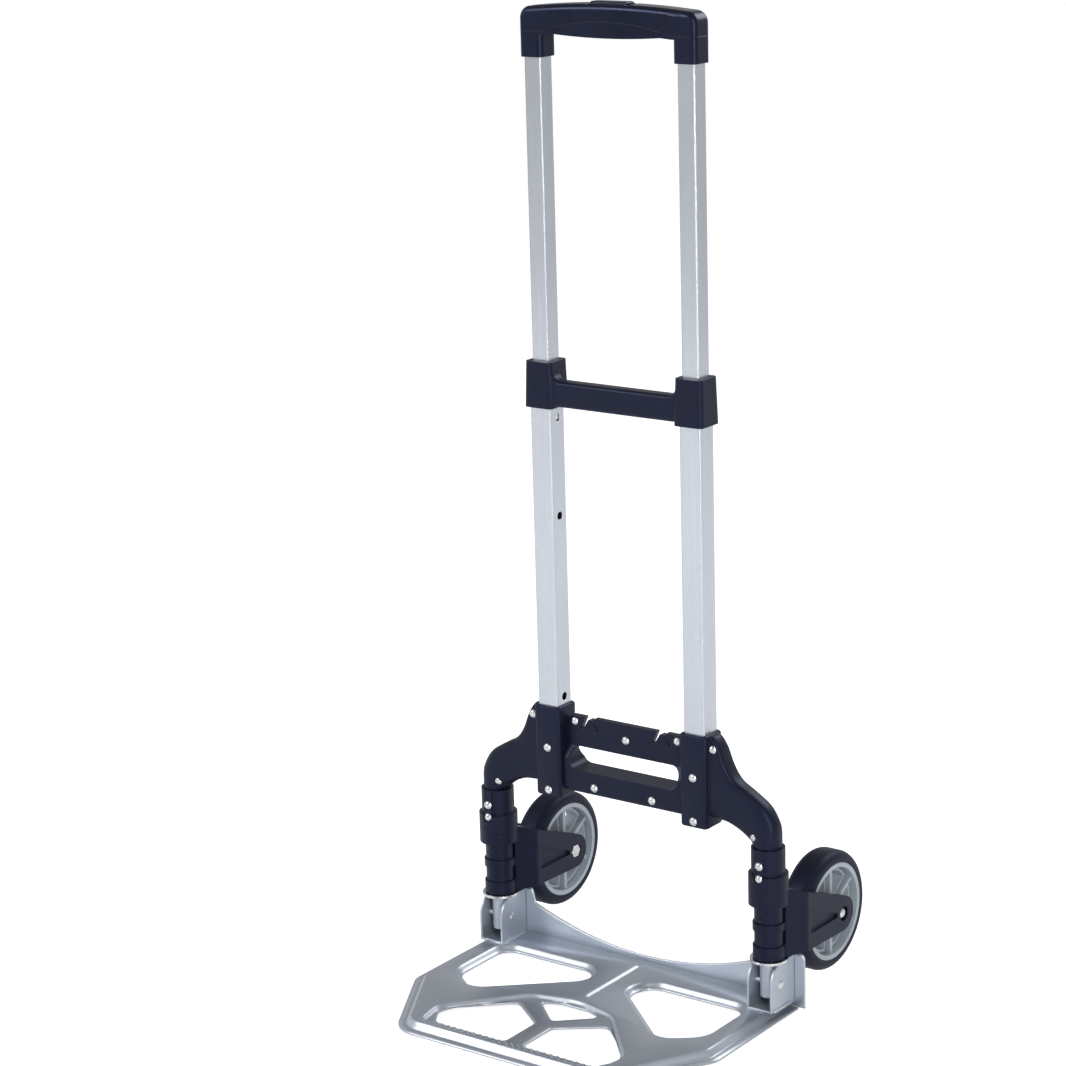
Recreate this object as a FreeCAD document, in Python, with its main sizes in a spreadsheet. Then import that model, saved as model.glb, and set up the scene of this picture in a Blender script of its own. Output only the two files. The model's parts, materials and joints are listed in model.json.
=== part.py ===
import FreeCAD, Part
import math
import os
import re

import Sketcher
from FreeCAD import Placement, Rotation, Vector

# Folding hand truck. Tube plane at y = 0, X to the right, Y to the rear, +Z up,
# z = 0 under the border of the toe plate. Every length is in millimetres.
# The finished pieces are shifted along Y so that the origin lies in the middle
# of the footprint.

SIZES = {
    # rails
    "tube_pitch": 181.2, "lower_pitch": 339.6,
    "outer_tube": 25, "outer_wall": 1.2, "outer_corner": 2.2, "outer_long": 459,
    "inner_wall": 1.2, "inner_corner": 2, "inner_long": 413.5, "inner_tail": 20.2, "bush_thick": 1,
    "lock_down": 55.8, "lock_step": 103.4, "lock_travel": 297.5, "lock_play": 0.5,
    # clearances
    "gap": 0.3, "fit": 0.05, "seat_gap": 0.1,
    # how far a cut runs past the face it starts from, or a pad into what carries it
    "overrun": 1, "bite": 0.5,
    # middle crossbar
    "collar_lip": 3, "collar_high": 47.5, "collar_wall": 4.5, "collar_taper": 1.5,
    "collar_corner": 5, "bar_lift": 2.3, "bar_high": 26.7, "bar_front": 14,
    "bar_thick": 17, "bar_gusset": 10, "bar_edge": 4, "bar_sink": 1,
    # handle
    "socket_wall": 3.5, "socket_corner": 6, "socket_long": 29.1, "seam_down": 3.5,
    "crown_up": 25, "shoulder_fall": 5.5, "grip_corner": 12, "belly_bow": 4.6,
    "belly_lap": 2, "belly_side": 13.1, "web_high": 3, "seam_bow": 11.5, "seam_side": 0.1,
    "grip_edge": 6, "room_lift": 5, "roof_thick": 2.5, "room_wall": 4.5, "room_end": 5,
    "button_half": 21.5, "button_deep": 13, "button_rise": 2, "button_side_gap": 0.5,
    "button_round": 2, "button_groove": 4.5, "groove_deep": 1.2, "yoke_thick": 6, "yoke_deep": 8,
    "yoke_lift": 7, "rod_diameter": 5, "rod_lift": 9.5,
    # lock
    "pin_diameter": 8, "pin_length": 8, "block_high": 32, "block_corner": 1,
    "pin_seat": 2, "rod_seat": 4,
    # side arms
    "housing_wall": 3.5, "housing_corner": 4, "housing_lift": 8.5, "housing_high": 99,
    "ledge_high": 2, "ledge_wide": 2, "arm_deep": 22, "elbow_wall": 5, "elbow_sink": 20,
    "spigot_long": 27.5, "tube_grip": 6.5,
    # cross plate
    "plate_down": 8.7, "plate_front": 3, "plate_deep": 7, "rail_lift": 8, "rail_high": 25,
    "rail_front": 10, "rail_deep": 28, "rail_slope": 12, "hand_side": 6.1, "hand_high": 24.5,
    "hand_corner": 11.5, "rail_edge": 5,
    "hook_place": 44.6, "hook_deep": 15, "hook_slot": 3.2, "hook_slant": 6, "hook_tooth": 2.7,
    "hook_round": 4, "plate_sink": 5, "bevel_wide": 8, "bevel_high": 6,
    # rivets
    "rivet_inset": 7, "rivet_pitch": 46.5, "arm_rivet_out": 4.9, "arm_rivet_down": 13,
    "elbow_rivet_in": 9.5, "elbow_rivet_up": 10.9, "plate_rivet_in": 10.6, "plate_rivet_down": 6.5,
    "mid_rivet_down": 17, "rail_rivet_out": 36, "rail_rivet_up": 9, "strap_rivet_up": 13.2,
    "strap_rivet_down": 0.5,
    "rivet_head": 9.4, "rivet_dome": 2.4, "rivet_shank": 4,
    # sleeves on the lower tubes
    "lower_tube": 19, "lower_wall": 1.5, "tube_end": 14.3,
    "ring_wall": 2.9, "cam_wall": 5.7, "cam_lift": 58.25, "cam_high": 31, "collar_step": 2,
    "seam_lift": 16, "cam_step": 10, "cam_turn": 249.5, "strip_wide": 10, "strip_proud": 0.8,
    "sleeve_wall": 5.3, "screw_lift": 3.5, "screw_head": 5.5, "screw_shank": 3, "screw_dome": 1.6,
    "washer_rim": 4.9, "washer_thick": 3, "washer_lift": 24.45,
    # fork
    "band_wall": 1.7, "band_lift": 30.25, "band_tall": 8.5, "foot_band": 14,
    "arm_thick": 9, "hub_space": 2.5, "wheel_space": 4, "wheel_lift": 16,
    "fork_end": 18.5, "crown_front": 8, "crown_back": 36, "crown_round": 8, "crown_lift": 18.9,
    "fork_slope": 0.403, "crown_cheek": 0.7, "crown_side": 4, "crown_lap": 2,
    "pocket_deep": 3, "pocket_start": 2, "pocket_end": 12.5, "pocket_low": 4.5, "pocket_high": 26,
    # wheel
    "wheel_radius": 63.5, "tyre_wide": 32, "tyre_shoulder": 9.5, "tyre_high": 11.9,
    "rim_inset": 0.5, "rim_wall": 5, "web_thick": 7, "boss_wall": 7,
    "spoke_thick": 4.5, "spoke_wide": 23, "window_wall": 2.4, "window_deep": 15,
    "window_foot": 6, "window_rim": 7.5, "window_narrow": 4, "window_wide": 13.5, "window_bow": 3,
    "bush_wall": 2, "spacer_wall": 3, "axle_diameter": 8,
    "bolt_head": 13, "bolt_head_high": 4, "bolt_gap": 1.5, "bolt_end": 0.5,
    "nut_wide": 13, "nut_high": 4, "nut_inset": 0.4,
    # toe plate
    "sheet_thick": 2, "toe_margin": 19.2, "toe_front": 240, "nose_in": 86,
    "toe_side": 112, "nose_bevel": 23, "panel_top": 10, "rim_step": 9, "recess_drop": 4,
    "hole_drop": 6, "hole_wall": 6, "hole_side": 36.5, "hole_rear": 44, "hole_neck": 46,
    "hole_inner": 27, "hole_bevel": 9, "tip_in": 71.8, "hole_front": 116, "hole_rise": 26,
    "recess_back": 146, "recess_side": 59, "recess_front": 22, "recess_fall": 12,
    "recess_wide": 15, "recess_narrow": 9, "hole_edge": 4, "web_half": 11, "nose_hole": 30,
    "toe_corner": 25, "nose_corner": 35, "flange_low": 16, "flange_high": 46,
    "flange_side": 24.8, "tab_out": 7, "tab_top": 61.5, "tab_corner": 6, "rim_bend": 4.5,
    "rib_wide": 8, "rib_rise": 2, "rib_front": 88, "rib_rear": 10,
    # hinge brackets
    "bracket_room": 5, "bracket_rear": 25, "bracket_space": 0.5, "seat_drop": 0.3,
    "hinge_height": 35.3, "cam_drop": 5, "hinge_pin": 7, "hinge_head": 11, "hinge_head_high": 2.2,
}

# Places and sizes that follow from the ones above.
FOLLOWS = {
    # widths, from the tubes outwards
    "inner_tube": "outer_tube - 2*outer_wall - 2*gap - 2*bush_thick",
    "collar_wide": "outer_tube + 2*collar_wall", "housing": "outer_tube + 2*housing_wall",
    "socket": "inner_tube + 2*socket_wall", "room_deep": "socket - 2*room_wall",
    "belly_half": "tube_pitch/2 - socket/2 - belly_side",
    "seam_half": "tube_pitch/2 - socket/2 - seam_side",
    "hand_half": "tube_pitch/2 - housing/2 - hand_side",
    "plate_rivet_out": "tube_pitch/2 - housing/2 - plate_rivet_in",
    "lock_hole": "pin_diameter + lock_play",
    "elbow_radius": "lower_tube/2 + elbow_wall", "sleeve_radius": "lower_tube/2 + sleeve_wall",
    "ring_radius": "elbow_radius + ring_wall", "cam_radius": "sleeve_radius + cam_wall",
    "strip_front": "ring_radius + strip_proud", "washer_radius": "sleeve_radius + washer_rim",
    "band_radius": "sleeve_radius + band_wall", "bracket_half": "lower_tube/2 + bracket_room",
    "rim_wide": "tyre_wide - 2*rim_inset", "rim_radius": "wheel_radius - tyre_high",
    "bush_radius": "axle_diameter/2 + bush_wall", "boss_radius": "bush_radius + boss_wall",
    "fork_half": "rim_wide/2 + hub_space + arm_thick",
    "axle_back": "crown_back + wheel_space + wheel_radius", "axle_height": "wheel_radius + wheel_lift",
    "toe_half": "lower_pitch/2 + toe_margin", "tab_half": "toe_half + tab_out",
    "toe_nose_half": "toe_half - nose_in", "hole_tip": "toe_half - tip_in",
    "flange_half": "lower_pitch/2 - flange_side",
    "toe_rear": "bracket_rear + bracket_space + sheet_thick",
    # heights, from the hinge upwards
    "lower_foot": "hinge_height - tube_end", "washer_foot": "hinge_height + washer_lift",
    "sleeve_foot": "washer_foot + washer_thick", "foot_band_top": "sleeve_foot + foot_band",
    "band_low": "sleeve_foot + band_lift", "band_high": "band_low + band_tall",
    "screw_height": "band_high + screw_lift", "cam_foot": "sleeve_foot + cam_lift",
    "seam_mid": "cam_foot + seam_lift", "fork_top": "cam_foot + crown_lift",
    "cam_top": "cam_foot + cam_high", "spigot_foot": "cam_top + collar_step",
    "elbow_foot": "spigot_foot + spigot_long", "lower_top": "elbow_foot + tube_grip",
    "housing_foot": "elbow_foot + housing_lift", "housing_top": "housing_foot + housing_high",
    "rail_foot": "housing_foot + rail_lift", "rail_top": "rail_foot + rail_high",
    "hand_top": "rail_top + hand_high", "plate_top": "housing_top - plate_down",
    "outer_foot": "housing_foot + ledge_high", "outer_top": "outer_foot + outer_long",
    "collar_top": "outer_top + collar_lip", "collar_foot": "collar_top - collar_high",
    "bar_foot": "collar_foot + bar_lift", "bar_top": "bar_foot + bar_high",
    "lock_high": "outer_top - lock_down", "lock_mid": "lock_high - lock_step",
    "lock_low": "lock_high - lock_travel", "rod_foot": "lock_high + rod_lift",
    "inner_foot": "lock_high - inner_tail", "inner_top": "inner_foot + inner_long",
    "socket_foot": "inner_top - socket_long", "seam_height": "inner_top - seam_down",
    "grip_belly": "seam_height - belly_bow", "belly_end": "seam_height - belly_lap",
    "seam_crown": "seam_height + seam_bow", "room_foot": "seam_height + room_lift",
    "yoke_foot": "room_foot + yoke_lift", "grip_crown": "inner_top + crown_up",
    "grip_shoulder": "grip_crown - shoulder_fall", "room_top": "grip_shoulder - roof_thick",
    "button_top": "grip_crown + button_rise",
}

doc = FreeCAD.newDocument("HandTruck")
sheet = doc.addObject("Spreadsheet::Sheet", "Sizes")
for row, (word, amount) in enumerate(SIZES.items(), start=1):
    sheet.set("A%d" % row, word)
    sheet.set("B%d" % row, str(amount))
    sheet.setAlias("B%d" % row, word)
doc.recompute()

# The origin lies midway between the front of the toe plate and the back of the wheels.
SHIFT = "(toe_front - axle_back - wheel_radius) / 2"
nodes = {}


NEAR = 0.02  # how close two places are when they count as the same


def linked(text, sheet_name="Sizes."):
    """Return an expression in sheet cells, with the words of FOLLOWS written out."""
    def swap(found):
        word = found.group(0)
        if word in FOLLOWS:
            return "(%s)" % linked(FOLLOWS[word], sheet_name)
        return sheet_name + word if word in SIZES else word
    return re.sub(r"[a-z][a-z_0-9]*", swap, text)


def number(text):
    """Return the present value of an expression in size words."""
    return float(sheet.evalExpression(linked(text, "")))


def bind(item, **fields):
    """Bind properties of a document object to expressions."""
    for field, text in fields.items():
        item.setExpression(field.replace("__", "."), linked(text))
    return item


def place(item, x="0", y="0", z="0"):
    """Put a finished piece in the shared frame."""
    bind(item, Placement__Base__x=x, Placement__Base__y="%s + %s" % (y, SHIFT), Placement__Base__z=z)
    return item


def keep(item, label):
    """Register a document object as an exported piece."""
    item.Label = label
    nodes[label] = item
    return item


def new_body(label):
    return doc.addObject("PartDesign::Body", label)


def origin_plane(body, role):
    return [feature for feature in body.Origin.OriginFeatures if feature.Role == role][0]


def draw(body, role, level, loops):
    """Add a sketch on an origin plane of the body, moved along its normal by level.

    A loop is ("circle", x, y, radius) or a list of corners (x, y); a corner
    (x, y, via_x, via_y) is reached by an arc through the via point.
    """
    sketch = body.newObject("Sketcher::SketchObject", body.Name + "Sketch")
    sketch.AttachmentSupport = (origin_plane(body, role), [""])
    sketch.MapMode = "FlatFace"
    sketch.setExpression(".AttachmentOffset.Base.z", linked(level))
    for loop in loops:
        if loop[0] == "circle":
            centre_x, centre_y, radius = loop[1:]
            spot = Vector(number(centre_x), number(centre_y), 0)
            index = sketch.addGeometry(Part.Circle(spot, Vector(0, 0, 1), number(radius)), False)
            pinned(sketch, index, 3, centre_x, centre_y)
            hold = sketch.addConstraint(Sketcher.Constraint("Radius", index, number(radius)))
            sketch.setExpression("Constraints[%d]" % hold, linked(radius))
            continue
        spots = [Vector(number(corner[0]), number(corner[1]), 0) for corner in loop]
        first = sketch.GeometryCount
        ends = []
        for index, corner in enumerate(loop):
            start, end = spots[index - 1], spots[index]
            if len(corner) == 4:
                via = Vector(number(corner[2]), number(corner[3]), 0)
                arc = Part.Arc(start, via, end)
                sketch.addGeometry(arc, False)
                forward = (via - start).cross(end - via).z > 0
                ends.append((1, 2) if forward else (2, 1))
            else:
                sketch.addGeometry(Part.LineSegment(start, end), False)
                ends.append((1, 2))
        count = len(loop)
        for index in range(count):
            after = (index + 1) % count
            sketch.addConstraint(Sketcher.Constraint(
                "Coincident", first + index, ends[index][1], first + after, ends[after][0]))
        for index, corner in enumerate(loop):
            pinned(sketch, first + index, ends[index][1], corner[0], corner[1])
    return sketch


def pinned(sketch, index, point, x, y):
    """Hold a sketch point at two bound distances from the sketch origin."""
    for kind, text in (("DistanceX", x), ("DistanceY", y)):
        hold = sketch.addConstraint(Sketcher.Constraint(kind, -1, 1, index, point, number(text)))
        sketch.setExpression("Constraints[%d]" % hold, linked(text))


def volume(body):
    doc.recompute()
    return body.Shape.Volume if not body.Shape.isNull() else 0.0


def pad(body, sketch, length, backwards=False, middle=False, taper=None):
    """Add material from a sketch and check that it did."""
    before = volume(body)
    feature = body.newObject("PartDesign::Pad", body.Name + "Pad")
    feature.Profile = sketch
    feature.setExpression("Length", linked(length))
    feature.Reversed = backwards
    if middle:
        feature.SideType = "Symmetric"
    if taper:
        feature.setExpression("TaperAngle", linked(taper))
    if volume(body) <= before + 1e-6:
        raise RuntimeError("nothing added to " + body.Name)
    return feature


def pocket(body, sketch, length, backwards=False, middle=False):
    """Take material away along a sketch and check that it did."""
    before = volume(body)
    feature = body.newObject("PartDesign::Pocket", body.Name + "Pocket")
    feature.Profile = sketch
    feature.setExpression("Length", linked(length))
    feature.Reversed = backwards
    if middle:
        feature.SideType = "Symmetric"
    if volume(body) >= before - 1e-6:
        raise RuntimeError("nothing cut from " + body.Name)
    return feature


def revolve(body, sketch, axis="H_Axis"):
    feature = body.newObject("PartDesign::Revolution", body.Name + "Revolution")
    feature.Profile = sketch
    feature.ReferenceAxis = (sketch, [axis])
    feature.Angle = 360
    if volume(body) <= 0:
        raise RuntimeError("nothing turned in " + body.Name)
    return feature


def fillet(body, wanted, radius):
    """Round the edges of the body for which wanted(edge) is true."""
    doc.recompute()
    base = body.Tip
    names = ["Edge%d" % (index + 1) for index, edge in enumerate(base.Shape.Edges) if wanted(edge)]
    if not names:
        raise RuntimeError("no edge to round in " + body.Name)
    feature = body.newObject("PartDesign::Fillet", body.Name + "Fillet")
    feature.Base = (base, names)
    feature.setExpression("Radius", linked(radius))
    doc.recompute()
    if "Invalid" in feature.State or feature.Shape.isNull() or not feature.Shape.isValid():
        raise RuntimeError("rounding failed in " + body.Name)
    return feature


def along(axis, *spots):
    """Test for straight edges along an axis, at one of the given spots across it."""
    first, second = {"x": ("y", "z"), "y": ("x", "z"), "z": ("x", "y")}[axis]
    targets = [(number(a), number(b)) for a, b in spots]

    def wanted(edge):
        ends = [vertex.Point for vertex in edge.Vertexes]
        if len(ends) != 2 or abs(edge.Length - (ends[1] - ends[0]).Length) > 1e-6:
            return False
        if abs(abs(getattr(ends[1] - ends[0], axis)) - edge.Length) > 1e-6:
            return False
        here = (getattr(ends[0], first), getattr(ends[0], second))
        return any(abs(here[0] - a) < NEAR and abs(here[1] - b) < NEAR for a, b in targets)
    return wanted


def square(x, y, side):
    """Return the four corners of a square around a centre."""
    return [("%s - (%s)/2" % (x, side), "%s - (%s)/2" % (y, side)),
            ("%s + (%s)/2" % (x, side), "%s - (%s)/2" % (y, side)),
            ("%s + (%s)/2" % (x, side), "%s + (%s)/2" % (y, side)),
            ("%s - (%s)/2" % (x, side), "%s + (%s)/2" % (y, side))]


def box(x_low, x_high, y_low, y_high):
    return [(x_low, y_low), (x_high, y_low), (x_high, y_high), (x_low, y_high)]


def widened(loop, amount):
    """Move every side of a closed outline outwards by amount (an expression)."""
    spots = [(number(x), number(y)) for x, y in loop]
    count = len(spots)
    area = sum(spots[i - 1][0] * spots[i][1] - spots[i][0] * spots[i - 1][1] for i in range(count))
    turn = 1 if area > 0 else -1
    result = []
    for i, (x, y) in enumerate(loop):
        before, here, after = spots[i - 1], spots[i], spots[(i + 1) % count]
        normals = []
        for (ax, ay), (bx, by) in ((before, here), (here, after)):
            length = math.hypot(bx - ax, by - ay)
            normals.append((turn * (by - ay) / length, -turn * (bx - ax) / length))
        (ax, ay), (bx, by) = normals
        scale = 1 / (1 + ax * bx + ay * by)
        result.append(("%s + %.5f*(%s)" % (x, (ax + bx) * scale, amount),
                       "%s + %.5f*(%s)" % (y, (ay + by) * scale, amount)))
    return result


def turned(loop, angle):
    """Turn an outline about the sketch origin by an angle in degrees."""
    cosine, sine = math.cos(math.radians(angle)), math.sin(math.radians(angle))
    return [tuple("%.6f*(%s) %s %.6f*(%s)" % (cosine, corner[at - at % 2], "+" if at % 2 else "-",
                                              sine, corner[at - at % 2 + 1]) if at % 2 == 0 else
                  "%.6f*(%s) + %.6f*(%s)" % (sine, corner[at - 1], cosine, corner[at])
                  for at in range(len(corner))) for corner in loop]


def mirrored(loop):
    return [("-(%s)" % x, y) for x, y in loop]


def rounded(loop, radii):
    """Round the corners of a straight-sided outline; a radius of "0" leaves a corner sharp."""
    spots = [(number(x), number(y)) for x, y in loop]
    result = []
    for i, (x, y) in enumerate(loop):
        radius = radii if isinstance(radii, str) else radii[i]
        if radius == "0":
            result.append((x, y))
            continue
        before, here, after = spots[i - 1], spots[i], spots[(i + 1) % len(loop)]
        back = (before[0] - here[0], before[1] - here[1])
        on = (after[0] - here[0], after[1] - here[1])
        back = (back[0] / math.hypot(*back), back[1] / math.hypot(*back))
        on = (on[0] / math.hypot(*on), on[1] / math.hypot(*on))
        half = math.acos(back[0] * on[0] + back[1] * on[1]) / 2
        run = 1 / math.tan(half)
        middle = (back[0] + on[0], back[1] + on[1])
        depth = (1 / math.sin(half) - 1) / math.hypot(*middle)

        def off(kx, ky):
            return ("%s + %.5f*(%s)" % (x, kx, radius), "%s + %.5f*(%s)" % (y, ky, radius))
        result.append(off(back[0] * run, back[1] * run))
        result.append(off(on[0] * run, on[1] * run) + off(middle[0] * depth, middle[1] * depth))
    return result


SIDES = (("left", "-1"), ("right", "1"))
PITCH, LOWER = "tube_pitch/2", "lower_pitch/2"
# How far a quarter arc of radius 1 stays inside its corner, and how far its middle lies along an axis.
ARC_SAG, ARC_HALF = "0.2929", "0.7071"

# Where the rivets go: (x, z) on the right side.
HOUSING_RIVETS = ("housing_foot + rivet_inset", "housing_foot + rivet_inset + rivet_pitch")
ARM_RIVET = ("%s + housing/2 + arm_rivet_out" % PITCH, "housing_top - arm_rivet_down")
ELBOW_RIVET = ("%s - elbow_rivet_in" % LOWER, "elbow_foot + elbow_rivet_up")
PLATE_RIVETS = [("-plate_rivet_out", "plate_top - plate_rivet_down"),
                ("plate_rivet_out", "plate_top - plate_rivet_down"), ("0", "plate_top - mid_rivet_down")]
RAIL_RIVETS = [("-rail_rivet_out", "rail_foot + rail_rivet_up"),
               ("rail_rivet_out", "rail_foot + rail_rivet_up")]
STRAP_RIVETS = ("cam_top + strap_rivet_up", "cam_top - strap_rivet_down")


# ---------------------------------------------------------------- rails
def square_tube(label, side, outer, wall, corner, foot, top):
    body = new_body(label)
    pad(body, draw(body, "XY_Plane", foot, [square("0", "0", outer)]), "%s - %s" % (top, foot))
    fillet(body, along("z", *square("0", "0", outer)), corner)
    bore = "%s - 2*%s" % (outer, wall)
    pocket(body, draw(body, "XY_Plane", top, [square("0", "0", bore)]), "%s - %s" % (top, foot))
    fillet(body, along("z", *square("0", "0", bore)), "%s - %s" % (corner, "0.8*" + wall))
    return place(keep(body, label), x="%s*tube_pitch/2" % side)


def cross_hole(body, role, level, spots, diameter, length, backwards=False):
    """Drill round holes across a body from an origin plane moved by level."""
    loops = [("circle", x, y, "(%s)/2" % diameter) for x, y in spots]
    return pocket(body, draw(body, role, level, loops), length, backwards)


for side_name, side in SIDES:
    tube = square_tube("outer_tube_" + side_name, side, "outer_tube", "outer_wall",
                       "outer_corner", "outer_foot", "outer_top")
    # lock holes in the wall that faces the other rail; holes for the housing rivets
    cross_hole(tube, "YZ_Plane", "0", [("0", "lock_high"), ("0", "lock_mid"), ("0", "lock_low")],
               "lock_hole", "outer_tube", backwards=(side == "-1"))
    cross_hole(tube, "XZ_Plane", "outer_tube", [("0", spot) for spot in HOUSING_RIVETS],
               "rivet_shank + 2*seat_gap", "2*outer_tube")
    rail = square_tube("inner_tube_" + side_name, side, "inner_tube", "inner_wall",
                       "inner_corner", "inner_foot", "inner_top")
    cross_hole(rail, "YZ_Plane", "0", [("0", "lock_high")], "pin_diameter + 2*gap",
               "inner_tube", backwards=(side == "-1"))

# ---------------------------------------------------------------- middle crossbar
body = new_body("mid_crossbar")
BAR_END = "%s - collar_wide/2 + bar_sink" % PITCH
bar = [("-%s" % PITCH, "bar_foot"), (PITCH, "bar_foot"),
       (PITCH, "bar_top + bar_gusset"),
       (BAR_END, "bar_top + bar_gusset"),
       ("%s - bar_gusset" % BAR_END, "bar_top",
        "%s - %s*bar_gusset" % (BAR_END, ARC_SAG), "bar_top + %s*bar_gusset" % ARC_SAG),
       ("-(%s) + bar_gusset" % BAR_END, "bar_top"),
       ("-(%s)" % BAR_END, "bar_top + bar_gusset",
        "-(%s) + %s*bar_gusset" % (BAR_END, ARC_SAG), "bar_top + %s*bar_gusset" % ARC_SAG),
       ("-%s" % PITCH, "bar_top + bar_gusset")]
pad(body, draw(body, "XZ_Plane", "bar_front - bar_thick", [bar]), "bar_thick")
fillet(body, along("x", ("-bar_front", "bar_top"), ("bar_thick - bar_front", "bar_top"),
                   ("-bar_front", "bar_foot"), ("bar_thick - bar_front", "bar_foot")), "bar_edge")
for side in ("-1", "1"):
    middle = "%s*%s" % (side, PITCH)
    pad(body, draw(body, "XY_Plane", "collar_foot", [square(middle, "0", "collar_wide")]),
        "collar_top - collar_foot", taper="-collar_taper")
doc.recompute()


def collar_upright(edge):
    """True for the eight slanting corner edges of the two collars."""
    ends = [vertex.Point for vertex in edge.Vertexes]
    if len(ends) != 2 or abs(ends[1].z - ends[0].z) < number("collar_taper"):
        return False
    most = number("collar_wide/2")
    least = most - math.tan(math.radians(number("collar_taper"))) * number("collar_top - collar_foot")
    offsets = [abs(abs(end.x) - number(PITCH)) for end in ends] + [abs(end.y) for end in ends]
    return all(least - NEAR < offset < most + NEAR for offset in offsets)


fillet(body, collar_upright, "collar_corner")
for side in ("-1", "1"):
    middle = "%s*%s" % (side, PITCH)
    pocket(body, draw(body, "XY_Plane", "outer_top", [square(middle, "0", "outer_tube")]),
           "outer_top - collar_foot")
    pocket(body, draw(body, "XY_Plane", "collar_top", [square(middle, "0", "inner_tube + 2*gap")]),
           "collar_top - collar_foot")
place(keep(body, "mid_crossbar"))

# ---------------------------------------------------------------- handle
EAR = "%s + socket/2" % PITCH
INSIDE = "%s - socket/2" % PITCH
lower = new_body("handle_lower_shell")
outline = [("-%s" % PITCH, "seam_height - web_high"), ("-(%s)" % INSIDE, "seam_height - web_high"),
           ("-belly_half", "belly_end"), ("belly_half", "belly_end", "0", "grip_belly"),
           (INSIDE, "seam_height - web_high"), (PITCH, "seam_height - web_high"),
           (PITCH, "seam_height"), ("seam_half", "seam_height"),
           ("-seam_half", "seam_height", "0", "seam_crown"), ("-%s" % PITCH, "seam_height")]
for side in ("-1", "1"):
    middle = "%s*%s" % (side, PITCH)
    socket = rounded(square(middle, "0", "socket"), "socket_corner")
    pad(lower, draw(lower, "XY_Plane", "socket_foot", [socket]), "seam_height - socket_foot")
    if side == "-1":
        pad(lower, draw(lower, "XZ_Plane", "0", [outline]), "socket", middle=True)
upper = new_body("handle_upper_shell")
outline = [("-(%s)" % EAR, "seam_height"), ("-seam_half", "seam_height"),
           ("seam_half", "seam_height", "0", "seam_crown"), (EAR, "seam_height"),
           (EAR, "grip_shoulder"), ("-(%s)" % EAR, "grip_shoulder", "0", "grip_crown")]
pad(upper, draw(upper, "XZ_Plane", "0", [outline]), "socket", middle=True)


def grip_top(edge):
    """True for the front and rear rims over the top and round the ends of the grip."""
    low = edge.BoundBox
    return low.YLength < NEAR and low.ZMax > number("seam_crown + bite")


fillet(upper, along("y", ("-(%s)" % EAR, "grip_shoulder"), (EAR, "grip_shoulder")), "grip_corner")
fillet(upper, grip_top, "grip_edge")
for shell, foot, top in ((lower, "room_foot", "seam_crown + overrun"),
                         (upper, "seam_height - overrun", "room_top")):
    room = box("-(%s) + room_end" % EAR, "%s - room_end" % EAR, "-room_deep/2", "room_deep/2")
    pocket(shell, draw(shell, "XY_Plane", top, [room]), "%s - (%s)" % (top, foot))
for side in ("-1", "1"):
    middle = "%s*%s" % (side, PITCH)
    for shell, foot in ((lower, "socket_foot"), (upper, "seam_height")):
        seat = draw(shell, "XY_Plane", "inner_top + gap", [square(middle, "0", "inner_tube + 2*seat_gap")])
        pocket(shell, seat, "inner_top + gap - %s" % foot)
slot = box("-button_half - button_side_gap", "button_half + button_side_gap",
           "-button_deep/2 - button_side_gap", "button_deep/2 + button_side_gap")
pocket(upper, draw(upper, "XY_Plane", "grip_crown + overrun", [slot]), "grip_crown - room_top + 2*overrun")
groove = box("button_half", "button_half + button_groove", "-socket/2", "socket/2")
for loop in (groove, mirrored(groove)):
    pocket(upper, draw(upper, "XY_Plane", "grip_crown + overrun", [loop]), "groove_deep + overrun")
place(keep(lower, "handle_lower_shell"))
place(keep(upper, "handle_upper_shell"))

button = new_body("release_button")
face = box("-button_half", "button_half", "-button_deep/2", "button_deep/2")
pad(button, draw(button, "XY_Plane", "yoke_foot + yoke_thick", [face]),
    "button_top - yoke_foot - yoke_thick")
fillet(button, lambda edge: edge.BoundBox.ZMin > number("button_top") - NEAR, "button_round")
place(keep(button, "release_button"))
yoke = new_body("release_yoke")
bridge = box("-%s - rod_diameter/2" % PITCH, "%s + rod_diameter/2" % PITCH,
             "-yoke_deep/2", "yoke_deep/2")
pad(yoke, draw(yoke, "XY_Plane", "yoke_foot", [bridge]), "yoke_thick")
place(keep(yoke, "release_yoke"))

for side_name, side in SIDES:
    rod = doc.addObject("Part::Cylinder", "push_rod_" + side_name)
    bind(rod, Radius="rod_diameter/2", Height="yoke_foot - rod_foot")
    place(keep(rod, "push_rod_" + side_name), x="%s*tube_pitch/2" % side, z="rod_foot")

    block = new_body("lock_block_" + side_name)
    side_length = "inner_tube - 2*inner_wall - 2*seat_gap"
    foot = "lock_high - block_high/2"
    pad(block, draw(block, "XY_Plane", foot, [square("0", "0", side_length)]), "block_high")
    fillet(block, along("z", *square("0", "0", side_length)), "block_corner")
    cross_hole(block, "YZ_Plane", "%s*(%s)/2" % ("-1" if side == "1" else "1", side_length),
               [("0", "lock_high")], "pin_diameter + 4*fit", "%s - pin_seat" % side_length,
               backwards=(side == "1"))
    pocket(block, draw(block, "XY_Plane", "lock_high + block_high/2",
                       [("circle", "0", "0", "rod_diameter/2 + gap")]), "block_high - rod_seat")
    place(keep(block, "lock_block_" + side_name), x="%s*tube_pitch/2" % side)

    pin = doc.addObject("Part::Cylinder", "lock_pin_" + side_name)
    bind(pin, Radius="pin_diameter/2", Height="pin_length")
    pin.Placement.Rotation = Rotation(Vector(0, 1, 0), 90)
    tip = "tube_pitch/2 - outer_tube/2 + outer_wall + gap"
    at = tip if side == "1" else "-(%s) - pin_length" % tip
    place(keep(pin, "lock_pin_" + side_name), x=at, z="lock_high")

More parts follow.
